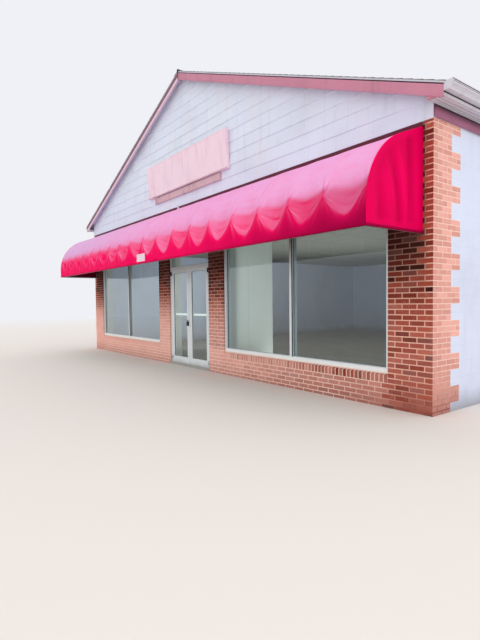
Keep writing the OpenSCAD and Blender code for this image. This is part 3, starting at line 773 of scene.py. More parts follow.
def roof_line(x, below=0.0):
    """Height of the roof's upper face at a distance from the ridge, less a drop."""
    return RIDGE_Z - SLOPE_TAN * abs(x) - below


def into_piece(bm, name, look, body="building", even=False):
    """Writes the bmesh to a new object that rides on a body of the frame."""
    mesh = bpy.data.meshes.new(name)
    bm.to_mesh(mesh)
    bm.free()
    piece = bpy.data.objects.new(name, mesh)
    bpy.context.scene.collection.objects.link(piece)
    material, slot = finish(look)
    mesh.materials.append(material)
    if even:
        mesh.shade_smooth()
    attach(piece, body)
    return piece


class Stack:
    """Many boxes with eased edges, each with its own values, made in small batches."""
    BATCH = 60

    def __init__(self, ease_width, segments=1, layers=("tone",)):
        self.whole, self.ease_width, self.segments = bmesh.new(), ease_width, segments
        self.names = layers
        self.start()

    def start(self):
        self.batch, self.count = bmesh.new(), 0
        self.layers = [self.batch.faces.layers.float.new(name) for name in self.names]

    def box(self, low, high, values=(0.5,), turn=None):
        """Adds a box. Returns its vertices until the next box."""
        if self.count >= self.BATCH:
            self.flush()
        corners = add_box(self.batch, low, high, turn)
        for face in {face for corner in corners for face in corner.link_faces}:
            for layer, value in zip(self.layers, values):
                face[layer] = value
        self.count += 1
        return corners

    def pairs(self, *boxes):
        """The same boxes on the right and on the left."""
        for side, _ in SIDES:
            for low, high in boxes:
                self.box((side * low[0], *low[1:]), (side * high[0], *high[1:]))

    def ring(self, low, high, width, near, far):
        """Four strips inside an opening given by (x, z) corners, from y near to y far."""
        (x0, z0), (x1, z1) = low, high
        for left, right, under, over in (
                (x0, x0 + width, z0, z1), (x1 - width, x1, z0, z1),
                (x0 + width, x1 - width, z0, z0 + width), (x0 + width, x1 - width, z1 - width, z1)):
            self.box((left, near, under), (right, far, over))

    def rake_bars(self, *bars):
        """Bars on both rakes: x from and to, distances before the roof, heights from the ridge."""
        for out, face in RAKES:
            for x0, x1, near, far, low, high in bars:
                self.box((x0, face + out * near, RIDGE_Z + low),
                         (x1, face + out * far, RIDGE_Z + high))

    def flush(self):
        """Eases the batch and moves it to the whole."""
        if self.count:
            if self.ease_width:
                ease(self.batch, self.batch.edges, self.ease_width, self.segments)
            rough = bpy.data.meshes.new("batch")
            self.batch.to_mesh(rough)
            self.whole.from_mesh(rough)
            bpy.data.meshes.remove(rough)
        self.batch.free()
        self.start()

    def done(self):
        self.flush()
        self.batch.free()
        return self.whole

    def piece(self, name, look, body="building", fold=False):
        """Makes the piece, folded over the ridge of the roof where that is asked."""
        whole = self.done()
        if fold:
            fold_at_ridge(whole)
        return into_piece(whole, name, look, body)


# The pieces

NODE_FINISHES = {
    "Trowelled concrete": "floor_slab door_threshold",
    "Emulsion on plasterboard": "entry_partition",
    "Grey ceiling boards": "ceiling",
    "Sanded mortar": "brick_corner_right brick_corner_left brick_pier_door_right "
                     "brick_pier_door_left brick_sill_wall_right brick_sill_wall_left "
                     "rowlock_sills brick_head_band",
    "Painted block": "side_wall_right side_wall_left back_wall",
    "Weathered siding": "gable_front gable_back",
    "Mineral shingles": "roof_slope_right roof_slope_left ridge_cap",
    "Painted trim": "rake_boards_front rake_boards_back",
    "Frieze trim": "frieze_boards",
    "White metal": "eave_soffits eave_fascias gutters",
    "Frame enamel": "window_frame_right window_frame_left door_frame door_leaf_right "
                    "door_leaf_left",
    "Bright enamel": "push_bar_right push_bar_left",
    "Dipped steel": "awning_frame",
    "Dark steel": "door_pivots",
    "Black enamel": "door_lock",
    "Coated awning cloth": "awning_cover",
    "Sign face": "awning_panel sign_panel",
    "Sign strip": "sign_strip",
    "Clear float glass": "window_glass_right window_glass_left transom_glass door_glass_right "
                         "door_glass_left",
}


class CORNERSHOP_OT_finish_frame(Operator):
    """Give every solid of the frame its finish"""
    bl_idname = "corner_shop.finish_frame"
    bl_label = "Finish frame"

    def execute(self, context):
        for look, nodes in NODE_FINISHES.items():
            for node in nodes.split():
                mesh = frame["nodes"][node].data
                mesh.materials.clear()
                mesh.materials.append(finish(look)[0])
        return {"FINISHED"}


class CORNERSHOP_OT_lay_bricks(Operator):
    """Lay the bricks of the front, the corner returns and the window sills"""
    bl_idname = "corner_shop.lay_bricks"
    bl_label = "Lay bricks"

    EASE, LAYERS = 0.0022, ("tone", "pale")
    # Courses flatter than FLAT and bricks shorter than SHORT are left out, and a brick that would
    # leave less than SLIVER of its wall runs to the wall's end
    FLAT, SHORT, SLIVER = 0.02, 0.028, 0.03
    # How deep the bricks of an even face reach in, and the play before a window frame
    DEEP, PLAY = 0.02, 0.0015

    def execute(self, context):
        random.seed(self.bl_idname)
        b = context.scene.shop_bricks
        front, *returns = (Stack(self.EASE, layers=self.LAYERS) for _ in range(3))
        for index in range(math.ceil((WALL_TOP - b.first) / b.course) + 1):
            bed = b.first + (index - 1) * b.course
            bottom = max(bed + b.joint / 2, 0.0)
            top = min(bed + b.course - b.joint / 2, WALL_TOP - 0.002)
            if top - bottom < self.FLAT:
                continue
            shift = 0.0 if index % 2 else 0.5
            for span in self.spans(bottom, top):
                self.row(front, b, shift, *span)
            for (side, _), stack in zip(SIDES, returns):
                self.side_row(stack, b, side, shift, index, bottom, top)
        front.piece("bricks_front", "Fired clay brick")
        for (_, name), stack in zip(SIDES, returns):
            stack.piece("bricks_return_" + name, "Fired clay brick")
        self.rowlocks(b)
        return {"FINISHED"}

    def tone(self, pale, spread, height):
        """Random tone and paleness of one brick, with painted shade that darkens the bricks under
        the awning.
        """
        # Painted shade: the bricks darken from 1.12 m up to 2.06 m, where the awning shades the
        # wall.
        middle = 0.60 * (1 - smooth(height, 1.12, 2.06))
        tone = random.gauss(middle, 0.06 + 0.22 * middle)
        if random.random() < 0.04:
            tone -= 0.20
        return clamp(tone), clamp(pale + random.uniform(-spread, spread))

    def washed(self, near, far, height):
        """Paleness of a brick of the front: painted light, paler low down and towards the left,
        none above 1.75 m.
        """
        across = smooth((near + far) / 2, -2.0, 5.3)
        low = 0.30 * (1 - smooth(height, 0.40, 0.55)) if abs(near + far) < 2 * CORNER_IN else 0
        return (0.98 + low - 0.88 * across) * (1 - smooth(height, 0.75, 1.75))

    def spans(self, bottom, top):
        """Solid stretches of the front at one course, each with its own bottom and top."""
        if (bottom + top) / 2 < SILL_BASE:
            return [(-HALF_W, -PIER_IN, bottom, top), (PIER_IN, HALF_W, bottom, top)]
        if bottom >= HEAD_Z:
            return [(-HALF_W, HALF_W, bottom, top)]
        piers = ((-HALF_W, -CORNER_IN), (-PIER_OUT, -PIER_IN), (PIER_IN, PIER_OUT),
                 (CORNER_IN, HALF_W))
        solid = [(*pier, bottom, top) for pier in piers]
        if top - HEAD_Z > self.SLIVER:
            openings = ((-CORNER_IN, -PIER_OUT), (-PIER_IN, PIER_IN), (PIER_OUT, CORNER_IN))
            solid += [(*opening, HEAD_Z, top) for opening in openings]
        return solid

    def row(self, stack, b, shift, x0, x1, low, high):
        """One course of stretchers over a solid stretch."""
        half, middle = b.joint / 2, (low + high) / 2
        jambs = (PIER_IN, PIER_OUT, CORNER_IN) if low > SILL_BASE - 0.01 else (PIER_IN,)
        for index in range(math.ceil(2 * HALF_W / b.length) + 1):
            left = -HALF_W + (index - shift) * b.length
            right = left + b.length
            near = x0 if left < x0 + half else left + half
            far = x1 if right > x1 - half else right - half
            if far - near < self.SHORT:
                continue
            depth = self.DEEP
            ends = []
            for edge, out in ((near, -b.proud), (far, b.proud)):
                if any(abs(abs(edge) - jamb) < 1e-4 for jamb in jambs):
                    depth = REVEAL - self.PLAY
                    edge += out
                elif abs(abs(edge) - HALF_W) < 1e-4:
                    depth = b.length * (0.5 + shift) - half
                    edge += out
                ends.append(edge)
            # Near the corners, above 1.4 m, the painted shade of the awning stays at its strength
            # at 1.4 m.
            at_end = abs(sum(ends)) > 2 * HALF_W - 0.24 and low > 1.4
            jog = random.uniform(-0.0007, 0.0007)
            turn = Matrix.Rotation(random.uniform(-0.0016, 0.0016), 4, "Y")
            stack.box((ends[0], FACE_Y - b.proud + jog, low), (ends[1], FACE_Y + depth, high),
                      self.tone(self.washed(*ends, middle), 0.08, 1.4 if at_end else middle),
                      turn if depth < REVEAL else None)

    def side_row(self, stack, b, side, shift, index, bottom, top):
        """The bricks of one course on a corner return, behind the corner brick, darker near the
        foot.
        """
        quoin = ((index - 2) // 3) % 2 == 0 and index > 1
        limit = b.long_return if quoin else b.short_return
        half = b.joint / 2
        above_foot = smooth(top, 0.12, 0.80)
        start = b.length * (0.5 + shift)
        while start < limit - self.SLIVER:
            end = start + b.length
            far = limit if limit - end < self.SLIVER else end - half
            # Painted light: the return bricks start paler than those of the front, as on a lit
            # side.
            stack.box((side * (HALF_W - self.DEEP), FACE_Y + start + half, bottom),
                      (side * (HALF_W + b.proud), FACE_Y + far, top),
                      self.tone(0.76 - 0.95 * (1 - above_foot), 0.17, 1.7 - 0.7 * above_foot))
            start = end

    def rowlocks(self, b):
        """Bricks on edge under the windows, falling to the front."""
        stack = Stack(self.EASE, layers=self.LAYERS)
        front_z = SILL_Z - 0.008
        module = (CORNER_IN - PIER_OUT) / b.rowlocks
        for side, _ in SIDES:
            for index in range(b.rowlocks):
                x0 = PIER_OUT + index * module + b.joint * 0.65
                low, high = sorted((side * x0, side * (x0 + module - b.joint * 1.3)))
                proud = b.proud + 0.003 + random.uniform(-0.001, 0.001)
                # Painted light: the rowlocks are paler on the left and less pale towards the right
                # corner.
                pale = self.washed(low, high, 0.4) - 0.06 - 0.22 * smooth(low, 2.5, 4.2)
                corners = stack.box((low, FACE_Y - proud, SILL_BASE + b.joint / 2),
                                    (high, FACE_Y + REVEAL - self.PLAY, front_z),
                                    self.tone(pale, 0.20, random.choice((0.9, 0.9, 1.6))))
                for corner in corners:
                    if corner.co.z > front_z - 0.001:
                        rise = (corner.co.y - FACE_Y) / REVEAL * (SILL_Z - front_z)
                        corner.co.z = front_z + rise + 0.0015
        stack.piece("bricks_rowlock", "Fired clay brick")


class CORNERSHOP_OT_hang_siding(Operator):
    """Hang the wide siding boards on both gables"""
    bl_idname = "corner_shop.hang_siding"
    bl_label = "Hang siding"

    def execute(self, context):
        random.seed(self.bl_idname)
        s = context.scene.shop_siding
        for name, face, out in (("front", FACE_Y, -1), ("back", BACK_Y, 1)):
            boards, nails = Stack(0.0016), bmesh.new()
            for index in range(math.ceil((RIDGE_Z - WALL_TOP) / s.exposure)):
                bottom = WALL_TOP + index * s.exposure
                reach = min(HALF_W, (RIDGE_Z - ROOF_T - bottom) / SLOPE_TAN)
                shift = (index % 2) * 0.5 + random.uniform(-0.06, 0.06)
                start = -HALF_W - s.width * (1 - shift % 1)
                while start < reach:
                    end = start + s.width
                    x0, x1 = max(start + s.gap / 2, -reach), min(end - s.gap / 2, reach)
                    if x1 - x0 > 0.02:
                        self.board(boards, nails, s, x0, x1, bottom, face, out)
                    start = end
            whole = boards.done()
            for side, _ in SIDES:
                cut(whole, Vector((side * SLOPE_TAN, 0, 1)).normalized(),
                    RIDGE_Z - ROOF_T - LAP, True)
            into_piece(whole, "siding_boards_" + name, "Weathered siding")
            into_piece(nails, "siding_nails_" + name, "Weathered siding")
        return {"FINISHED"}

    def board(self, boards, nails, s, x0, x1, bottom, face, out):
        """One board, thicker at its lower edge, and its nails."""
        drop = random.uniform(0.003, 0.006) + (0.011 if bottom < WALL_TOP + 0.01 else 0)
        wave = random.uniform(-0.0008, 0.0008)
        for corner in boards.box((x0, face, bottom - drop),
                                 (x1, face + out * s.butt, bottom + s.exposure),
                                 (random.random(),)):
            if abs(corner.co.y - face) > 0.001:
                upper = corner.co.z > bottom + s.exposure / 2
                corner.co.y = face + out * ((s.top if upper else s.butt) + wave)
        for part in (0.06, 0.5, 0.94):
            x, z = x0 + (x1 - x0) * part, bottom + 0.022
            if z < roof_line(x, ROOF_T + 0.03):
                add_stub(nails, (x, face + out * (s.butt - 0.0008), z), 0.0042, 0.0026, 0.0028,
                         -out * math.pi / 2)


class CORNERSHOP_OT_lay_shingles(Operator):
    """Lay the shingle tabs on both slopes and the caps on the ridge"""
    bl_idname = "corner_shop.lay_shingles"
    bl_label = "Lay shingles"

    def execute(self, context):
        random.seed(self.bl_idname)
        s = context.scene.shop_roof
        half_l = ROOF_HIGH.y + s.overhang
        for side, name in SIDES:
            self.slope(s, side, name, half_l)
        self.ridge(s, half_l)
        edges = Stack(0.0008)
        edges.rake_bars((-EAVE_X, EAVE_X, -0.002, 0.0035, -0.022, 0.0005),
                        (-EAVE_X, EAVE_X, -0.002, 0.0115, -0.0245, -0.0195))
        edges.piece("rake_metal_edges", "White metal", fold=True)
        return {"FINISHED"}

    def slope(self, s, side, name, half_l):
        """Courses of tabs, laid flat from the eave up and then turned onto their slope."""
        angle = math.atan(SLOPE_TAN)
        run = EAVE_X / math.cos(angle) + s.overhang
        tabs = Stack(0.0)
        for course in range(math.ceil(run / s.exposure)):
            lower = course * s.exposure
            upper = min(lower + s.exposure + 0.01, run)
            start = -half_l - (course % 2) * s.tab / 2 - random.uniform(0, 0.01)
            while start < half_l:
                y0 = max(start + s.slot / 2, -half_l)
                y1 = min(start + s.tab - s.slot / 2, half_l)
                if y1 - y0 > 0.02:
                    slip = random.uniform(-0.002, 0.002)
                    for corner in tabs.box((lower + slip, y0, 0.0005), (upper, y1, s.butt),
                                           (random.betavariate(2, 3),)):
                        if corner.co.z > 0.001 and corner.co.x > lower + s.exposure / 2:
                            corner.co.z = 0.002
                start += s.tab
        whole = tabs.done()
        foot = EAVE_X + s.overhang * math.cos(angle)
        place = (Matrix.Translation((foot, 0, roof_line(foot))) @ Matrix.Rotation(angle, 4, "Y")
                 @ Matrix.Scale(-1, 4, (1, 0, 0)))
        bmesh.ops.transform(whole, matrix=place, verts=whole.verts)
        if side < 0:
            bmesh.ops.scale(whole, vec=(-1, 1, 1), verts=whole.verts)
        bmesh.ops.recalc_face_normals(whole, faces=whole.faces)
        into_piece(whole, "shingles_" + name, "Mineral shingles")

    def ridge(self, s, half_l):
        """Caps over the ridge, each folded over both slopes and lapped by the next."""
        caps = Stack(0.0)
        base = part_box("ridge_cap")[1].z
        start = -half_l
        while start < half_l - 0.02:
            end = min(start + s.exposure + 0.02, half_l)
            for corner in caps.box((-s.cap, start, base), (s.cap, end, base + 0.008),
                                   (random.betavariate(2, 3),)):
                if corner.co.y > start + s.exposure / 2 and corner.co.z > base + 0.001:
                    corner.co.z -= 0.006
            start += s.exposure
        caps.piece("shingles_ridge", "Mineral shingles", fold=True)


class CORNERSHOP_OT_fit_trim(Operator):
    """Fit the rake faces, friezes, soffit planks and gutter beads"""
    bl_idname = "corner_shop.fit_trim"
    bl_label = "Fit trim"

    BOARD, GAP = 0.009, 0.014
    FRIEZE_JOINTS = (-2.13, -2.127, 1.83, 1.833)
    STRAPS = 21

    def execute(self, context):
        random.seed(self.bl_idname)
        self.rakes()
        self.eaves()
        self.gutters()
        return {"FINISHED"}

    def rakes(self):
        """Board faces under the rake edges with a bead below, and the closed eave ends."""
        reach, thick = FASCIA_HIGH.x, self.BOARD
        foot, deck = -ROOF_T - 0.149, -ROOF_T - self.GAP
        faces = Stack(0.0012)
        faces.rake_bars((-reach, reach, -0.001, thick, foot, deck),
                        (-reach, reach, -0.004, thick + 0.006, foot - 0.003, foot + 0.014))
        faces.flush()
        fold_at_ridge(faces.whole)
        for out, face in RAKES:
            faces.pairs(((HALF_W + 0.001, face - out * 0.001, SOFFIT_LOW.z - 0.002),
                         (reach + 0.0005, face + out * (thick - 0.001),
                          roof_line(HALF_W, ROOF_T + 0.12))))
        faces.piece("rake_faces", "Painted trim")
        overhang = FACE_Y - ROOF_LOW.y
        for name, look, eased, fold, bars in (
                ("ridge_joint_covers", "Dark joints and painted shadow", 0.001, False, (
                    (-0.007, 0.007, 0.0, thick + 0.006, foot - 0.006, -0.006),
                    (-0.022, 0.022, -0.03, thick + 0.012, -0.012, 0.030))),
                ("rake_soffits", "Weathered siding", 0.0, True, (
                    (-reach, reach, -0.16 * overhang, -overhang, -ROOF_T - 0.007,
                     -ROOF_T + LAP),)),
                # Painted shade on the upper part of the left rake boards.
                ("rake_shaded_strips", "Shaded trim", 0.0012, True, (
                    (-reach, -0.008, 0.0, thick + 0.0015, -ROOF_T - 0.085, deck - 0.001),)),
                # A painted shadow line under the metal edges of both rakes.
                ("rake_gaps", "Dark joints and painted shadow", 0.0, True, (
                    (-reach, reach, -0.0005, 0.0045, deck - 0.002, -0.0240),))):
            stack = Stack(eased)
            stack.rake_bars(*bars)
            stack.piece(name, look, fold=fold)

    def eaves(self):
        """Frieze faces, a light edge strip and soffit planks, with painted shadow and shade round
        them.
        """
        faces, planks, gaps = Stack(0.0015), Stack(0.0018), Stack(0.0)
        end, reach, under = FRIEZE_HIGH.y, SOFFIT_HIGH.y, SOFFIT_LOW.z
        outer, inner, fascia = FRIEZE_HIGH.x + 0.010, HALF_W + 0.032, SOFFIT_HIGH.x
        width = (fascia - inner) / 3
        stops = (-end, *self.FRIEZE_JOINTS, end)
        bars = [(faces, outer - 0.011, outer, start, stop, FRIEZE_LOW.z - 0.009,
                 FRIEZE_HIGH.z - 0.034) for start, stop in zip(stops[::2], stops[1::2])]
        # Painted shadow over the top of the frieze, and painted shade behind the soffit planks.
        bars += [(gaps, outer - 0.011, outer - 0.003, 0.002 - end, end - 0.002,
                  FRIEZE_HIGH.z - 0.040, FRIEZE_HIGH.z - 0.001),
                 (gaps, inner, fascia, 0.002 - reach, reach - 0.002, under - 0.0015, under + LAP)]
        bars += [(planks, start + 0.0045, start + width - 0.0045, -reach, reach, under - 0.009,
                  under + LAP) for start in (inner, inner + width, inner + 2 * width)]
        # A light edge strip by the wall, and painted shade along the fascia.
        bars += [(planks, inner - 0.004, inner + 0.001, -reach, reach, under - 0.014, under + LAP),
                 (gaps, fascia - 0.014, fascia - 0.001, 0.002 - reach, reach - 0.002,
                  under - 0.004, under + LAP)]
        for side, _ in SIDES:
            for stack, x0, x1, y0, y1, z0, z1 in bars:
                stack.box((side * x0, y0, z0), (side * x1, y1, z1), (random.random(),))
        faces.piece("frieze_faces", "Frieze trim")
        planks.piece("soffit_planks", "White metal")
        gaps.piece("eave_gaps", "Dark joints and painted shadow")

    def gutters(self):
        """Rolled lips, creases and straps on the gutters, and painted shadow lines under and behind
        them.
        """
        beads, shade = Stack(0.0012), Stack(0.0)
        reach, lip_x, lip_z, foot_z = GUTTER_HIGH.y, GUTTER_HIGH.x, GUTTER_HIGH.z, GUTTER_LOW.z
        crease, fascia = foot_z + (lip_z - foot_z) * 0.42, FASCIA_HIGH.x
        straps = [-reach + 0.2 + index * (2 * reach - 0.4) / (self.STRAPS - 1)
                  for index in range(self.STRAPS)]
        beads.pairs(*[((x0, -reach, z0), (x1, reach, z1)) for x0, x1, z0, z1 in (
            (lip_x - 0.007, lip_x + 0.003, lip_z - 0.009, lip_z + 0.002),
            (lip_x - 0.013, lip_x - 0.008, crease, crease + (lip_z - foot_z) * 0.03),
            (fascia + 0.060, fascia + 0.068, foot_z - 0.002, foot_z + 0.003),
            (fascia - 0.003, fascia + 0.003, FASCIA_LOW.z - 0.003, FASCIA_LOW.z + 0.004))],
                    *[((EAVE_X + 0.004, y, lip_z - 0.005), (lip_x - 0.002, y + 0.026,
                                                            lip_z - 0.0025)) for y in straps])
        beads.piece("gutter_beads", "White metal")
        # Painted shadow: a dark line between each gutter and its fascia, and two under each lip.
        shade.pairs(*[((x0, 0.003 - reach, z0), (x1, reach - 0.003, z1)) for x0, x1, z0, z1 in (
            (fascia - 0.001, fascia + 0.0015, foot_z - 0.016, foot_z + 0.001),
            (lip_x - 0.002, lip_x + 0.001, lip_z - 0.018, lip_z - 0.010),
            (lip_x - 0.002, lip_x + 0.001, lip_z - 0.034, lip_z - 0.029))])
        shade.piece("gutter_shadow_gaps", "Dark joints and painted shadow")


class CORNERSHOP_OT_stretch_awning(Operator):
    """Stretch the awning cloth over its bent ribs, with its ends, hems and head strip"""
    bl_idname = "corner_shop.stretch_awning"
    bl_label = "Stretch awning"

    SEED = 11
    COLUMNS = 36
    END_COLUMNS, END_ROWS = 46, 56
    # The cloth half way between two ribs: metres down the rib, then how far it lies behind and
    # below the cloth on the rib, and how pale it is there and on the rib: sun fading, with painted
    # light on the slope and painted shade in the folds under it
    FALL = ((0.00, 0.000, 0.000, 1.00, 1.00), (0.30, 0.001, 0.002, 1.00, 1.00),
            (0.60, 0.003, 0.004, 1.00, 1.00), (0.85, 0.006, 0.007, 1.00, 1.00),
            (1.05, 0.011, 0.012, 1.00, 1.00), (1.20, 0.032, 0.026, 0.95, 0.95),
            (1.285, 0.056, 0.050, 0.80, 0.84), (1.312, 0.066, 0.078, 0.40, 0.70),
            (1.33, 0.066, 0.100, 0.40, 0.58), (1.38, 0.030, 0.205, 0.44, 0.44),
            (1.415, -0.006, 0.240, 0.38, 0.18), (1.430, -0.006, 0.254, 0.01, 0.03),
            (1.48, -0.002, 0.215, 0.00, 0.00), (1.65, 0.004, 0.105, 0.00, 0.00),
            (1.827, 0.000, 0.000, 0.00, 0.00))
    LIP = 1.415
    # Rows of the sheet down to the hem: metres at which a band ends, and its count of rows
    BANDS = ((1.0, 12), (1.24, 12), (1.30, 7), (1.405, 20), (1.435, 10), (1.52, 8))
    # Folds that fan out from a peak: degrees from straight down, height, width in degrees, reach
    FANS = ((-27, 1.0, 4.5, 0.34), (26, 1.0, 4.5, 0.34), (-10, 0.35, 6, 0.26), (11, 0.35, 6, 0.26),
            (-45, 0.75, 4, 0.40), (45, 0.75, 4, 0.40), (-63, 0.7, 4, 0.22), (62, 0.7, 4, 0.22),
            (-150, 0.35, 9, 0.30), (150, 0.35, 9, 0.30), (180, 0.8, 6, 0.30),
            (-164, -0.7, 5, 0.26), (165, -0.7, 5, 0.26))
    # Upright waves of an end, as shares of its depth and height: middle, drift of the middle
    # towards the front with height, width, height of the wave, and where it starts and stops
    WAVES = ((0.42, 0.34, 0.045, -1.0, -0.2, 0.75), (0.20, 0.06, 0.050, -0.7, 0.1, 1.2),
             (0.33, 0.24, 0.070, 0.9, -0.2, 0.9), (0.10, 0.03, 0.055, 0.7, -0.2, 1.2),
             (0.62, 0.26, 0.090, 0.7, -0.2, 0.7), (0.76, 0.10, 0.040, -0.45, -0.2, 0.5),
             (0.52, 0.40, 0.028, 0.45, 0.1, 0.8))

    def execute(self, context):
        s = self.s = context.scene.shop_awning
        random.seed(self.SEED)
        pitch = s.pitch
        self.depth, self.top = FACE_Y - COVER_LOW.y, COVER_HIGH.z
        self.middle = self.depth - s.bend
        self.straight = (self.middle + s.bend * math.sin(pitch)) / math.cos(pitch)
        self.level = self.top - self.straight * math.sin(pitch) - s.bend * math.cos(pitch)
        self.bent = self.straight + s.bend * (math.pi / 2 - pitch)
        self.total = self.bent + self.level - COVER_LOW.z
        self.rib_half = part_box("awning_frame")[1].x - s.tube / 2
        self.pitch_x = 2 * self.rib_half / s.bays
        self.peak = self.rib_point(self.LIP)
        self.bays = [self.new_bay(index) for index in range(s.bays)]
        self.fans = [[(angle + random.uniform(-4, 4), gain * random.uniform(0.35, 1.15),
                       width * random.uniform(0.8, 1.3), reach * random.uniform(0.8, 1.15))
                      for angle, gain, width, reach in self.FANS] for _ in range(s.bays + 1)]
        self.cover()
        self.ends()
        self.welts()
        self.head_strip()
        return {"FINISHED"}

    def new_bay(self, index):
        """How the cloth of one bay differs from the others."""
        draw = random.uniform
        arcs = [(draw(1.06, 1.14), 0.020, -draw(0.3, 0.7))]
        if index % 3 != 1 or random.random() < 0.4:
            arcs.append((draw(1.358, 1.375), 0.007, -draw(0.6, 1.3)))
        if random.random() < 0.5:
            arcs.append((draw(1.19, 1.24), 0.014, -draw(0.4, 0.9)))
        return {"arcs": arcs, "behind": draw(0.86, 1.10), "below": draw(0.93, 1.08),
                "skew": draw(-0.14, 0.14), "vee": draw(0.25, 0.85), "folds": draw(0.6, 1.9),
                "pale": draw(0.45, 1.15) * (0.6 + 0.4 * smooth(index, 4, 11)),
                "streaks": [(draw(1.29, 1.405), draw(0.003, 0.007),
                             random.choice((-0.24, -0.18, 0.16)), draw(0.15, 0.85),
                             draw(0.12, 0.30)) for _ in range(5)],
                "even": 0.85 * (1 - smooth(index, 2, 10))}

    def rib_point(self, t):
        """Distance from the wall, height and normal's rise of the cloth on a rib, t metres down."""
        s = self.s
        if t <= self.straight:
            return (t * math.cos(s.pitch), self.top - t * math.sin(s.pitch),
                    math.pi / 2 - s.pitch)
        if t >= self.bent:
            return self.depth, self.level - (t - self.bent), 0.0
        turn = math.pi / 2 - s.pitch - (t - self.straight) / s.bend
        return self.middle + s.bend * math.cos(turn), self.level + s.bend * math.sin(turn), turn

    def fall(self, t):
        """The offsets of the cloth half way between ribs, on smooth lines through the table."""
        stops = self.FALL
        index = next((i for i in range(len(stops) - 1) if t <= stops[i + 1][0] + 1e-9),
                     len(stops) - 2)
        a, b = stops[index], stops[index + 1]
        before, after = stops[max(index - 1, 0)], stops[min(index + 2, len(stops) - 1)]
        span = b[0] - a[0]
        k = min((t - a[0]) / span, 1.0)
        k2, k3 = k * k, k * k * k
        found = []
        for axis in (1, 2):
            start = (b[axis] - before[axis]) / max(b[0] - before[0], 1e-6) * span
            end = (after[axis] - a[axis]) / max(after[0] - a[0], 1e-6) * span
            found.append((2 * k3 - 3 * k2 + 1) * a[axis] + (k3 - 2 * k2 + k) * start
                         + (3 * k2 - 2 * k3) * b[axis] + (k3 - k2) * end)
        return found[0], found[1], a[3] + (b[3] - a[3]) * k, a[4] + (b[4] - a[4]) * k

    def rows(self):
        """Lengths down the cloth at which the sheet has its rows: closest at the lip."""
        rows, start = [], 0.0
        hem = self.total - self.s.hem
        for end, count in (*self.BANDS, (hem, 10), (self.total, 3)):
            rows += [start + (end - start) * i / count for i in range(count)]
            start = end
        return rows + [self.total]

    def columns(self):
        """Places along the awning at which the sheet has its columns: two on each tube."""
        half = self.s.tube / 2
        xs = {-COVER_HIGH.x, COVER_HIGH.x}
        for index in range(self.s.bays):
            left = -self.rib_half + index * self.pitch_x
            span = self.pitch_x - 2 * half
            for i in range(self.COLUMNS + 1):
                k = i / self.COLUMNS
                xs.add(round(left + half + span * (k - 0.055 * math.sin(2 * math.pi * k)), 6))
        return sorted(xs)

    def swing(self, x):
        """The bay of a place along the awning, and how far across its free span it is."""
        half = self.s.tube / 2
        index = clamp(int((x + self.rib_half) // self.pitch_x), 0, self.s.bays - 1)
        left = -self.rib_half + index * self.pitch_x
        return index, clamp((x - left - half) / (self.pitch_x - 2 * half))

    def hang(self, k, t, pointed):
        """Share of the fall at a place across a bay: soft above, an arch, then the lip's V."""
        side = 1 - abs(2 * k - 1)
        soft, arch = math.sin(math.pi * k) ** 2, 4 * k * (1 - k)
        vee = (side - side ** 4 / 4) * 4 / 3
        to_arch = smooth(t, 1.02, 1.27)
        to_vee = smooth(t, 1.33, self.LIP) * pointed
        return (soft * (1 - to_arch) + arch * to_arch) * (1 - to_vee) + vee * to_vee

    def fan(self, x, z, index):
        """Height of the folds that fan out from the peaks on both sides of a place."""
        height = 0.0
        for rib in (index, index + 1):
            a = x - (-self.rib_half + rib * self.pitch_x)
            down = self.peak[1] - z
            radius = math.hypot(a, down)
            if not 0.015 < radius < 0.46:
                continue
            angle = math.degrees(math.atan2(a, down))
            for centre, gain, width, reach in self.fans[rib]:
                off = ((angle - centre + 180) % 360 - 180) / width
                if abs(off) < 3 and radius < reach:
                    fade = (min((radius - 0.015) / 0.05, 1)
                            * min((reach - radius) / (0.6 * reach), 1))
                    height += gain * math.exp(-off * off) * fade
        return height

    def cloth_point(self, x, t):
        """Place and paleness of the cloth, x along the awning and t metres down a rib."""
        index, k = self.swing(x)
        bay = self.bays[index]
        out, z, turn = self.rib_point(t)
        behind, below, pale, pale_rib = self.fall(t)
        k = clamp(k + bay["skew"] * math.sin(math.pi * k) ** 2 * 0.6)
        share = self.hang(k, t, bay["vee"])
        side = min(1.0, 2.5 * min(k, 1 - k))
        lip = smooth(t, 1.2, self.LIP)
        out -= behind * share * (bay["behind"] if behind > 0 else 1.0)
        z -= below * share * (1 + (bay["below"] - 1) * lip)
        rise = self.fan(x, z, index) * bay["folds"]
        # Painted highlight on fold crests and painted shade in fold hollows, added to the paleness.
        crest = rise * 0.38 * smooth(t, 1.0, 1.15) * (1 - 0.7 * smooth(t, 1.40, 1.55))
        if t > self.LIP:
            crest = max(crest, 0.0)
        # Arcs and streaks also darken or lighten the paleness along them: painted shade and
        # highlight.
        for centre, width, gain in bay["arcs"]:
            swell = gain * math.exp(-((t - centre) / width) ** 2) * side
            rise += swell
            crest += 0.12 * swell
        for centre, width, gain, at, wide in bay["streaks"]:
            swell = gain * math.exp(-((t - centre) / width) ** 2 - ((k - at) / wide) ** 2) * side
            rise += 2.5 * swell
            crest += swell
        rise *= self.s.fold * min(min(k, 1 - k) / 0.04, 1.0)
        for place, height in (((x * 2.3, t * 3.1, 4.0), 0.005), ((x * 7.0, z * 9.0, 9.0), 0.0022)):
            rise += noise.noise(place) * height * side * min(t / 0.2, 1.0)
        rise *= clamp((self.total - t - self.s.hem * 0.5) / 0.10)
        point = Vector((x, FACE_Y - out - math.cos(turn) * rise, z + math.sin(turn) * rise))
        point.y = max(point.y, COVER_LOW.y - 0.006)
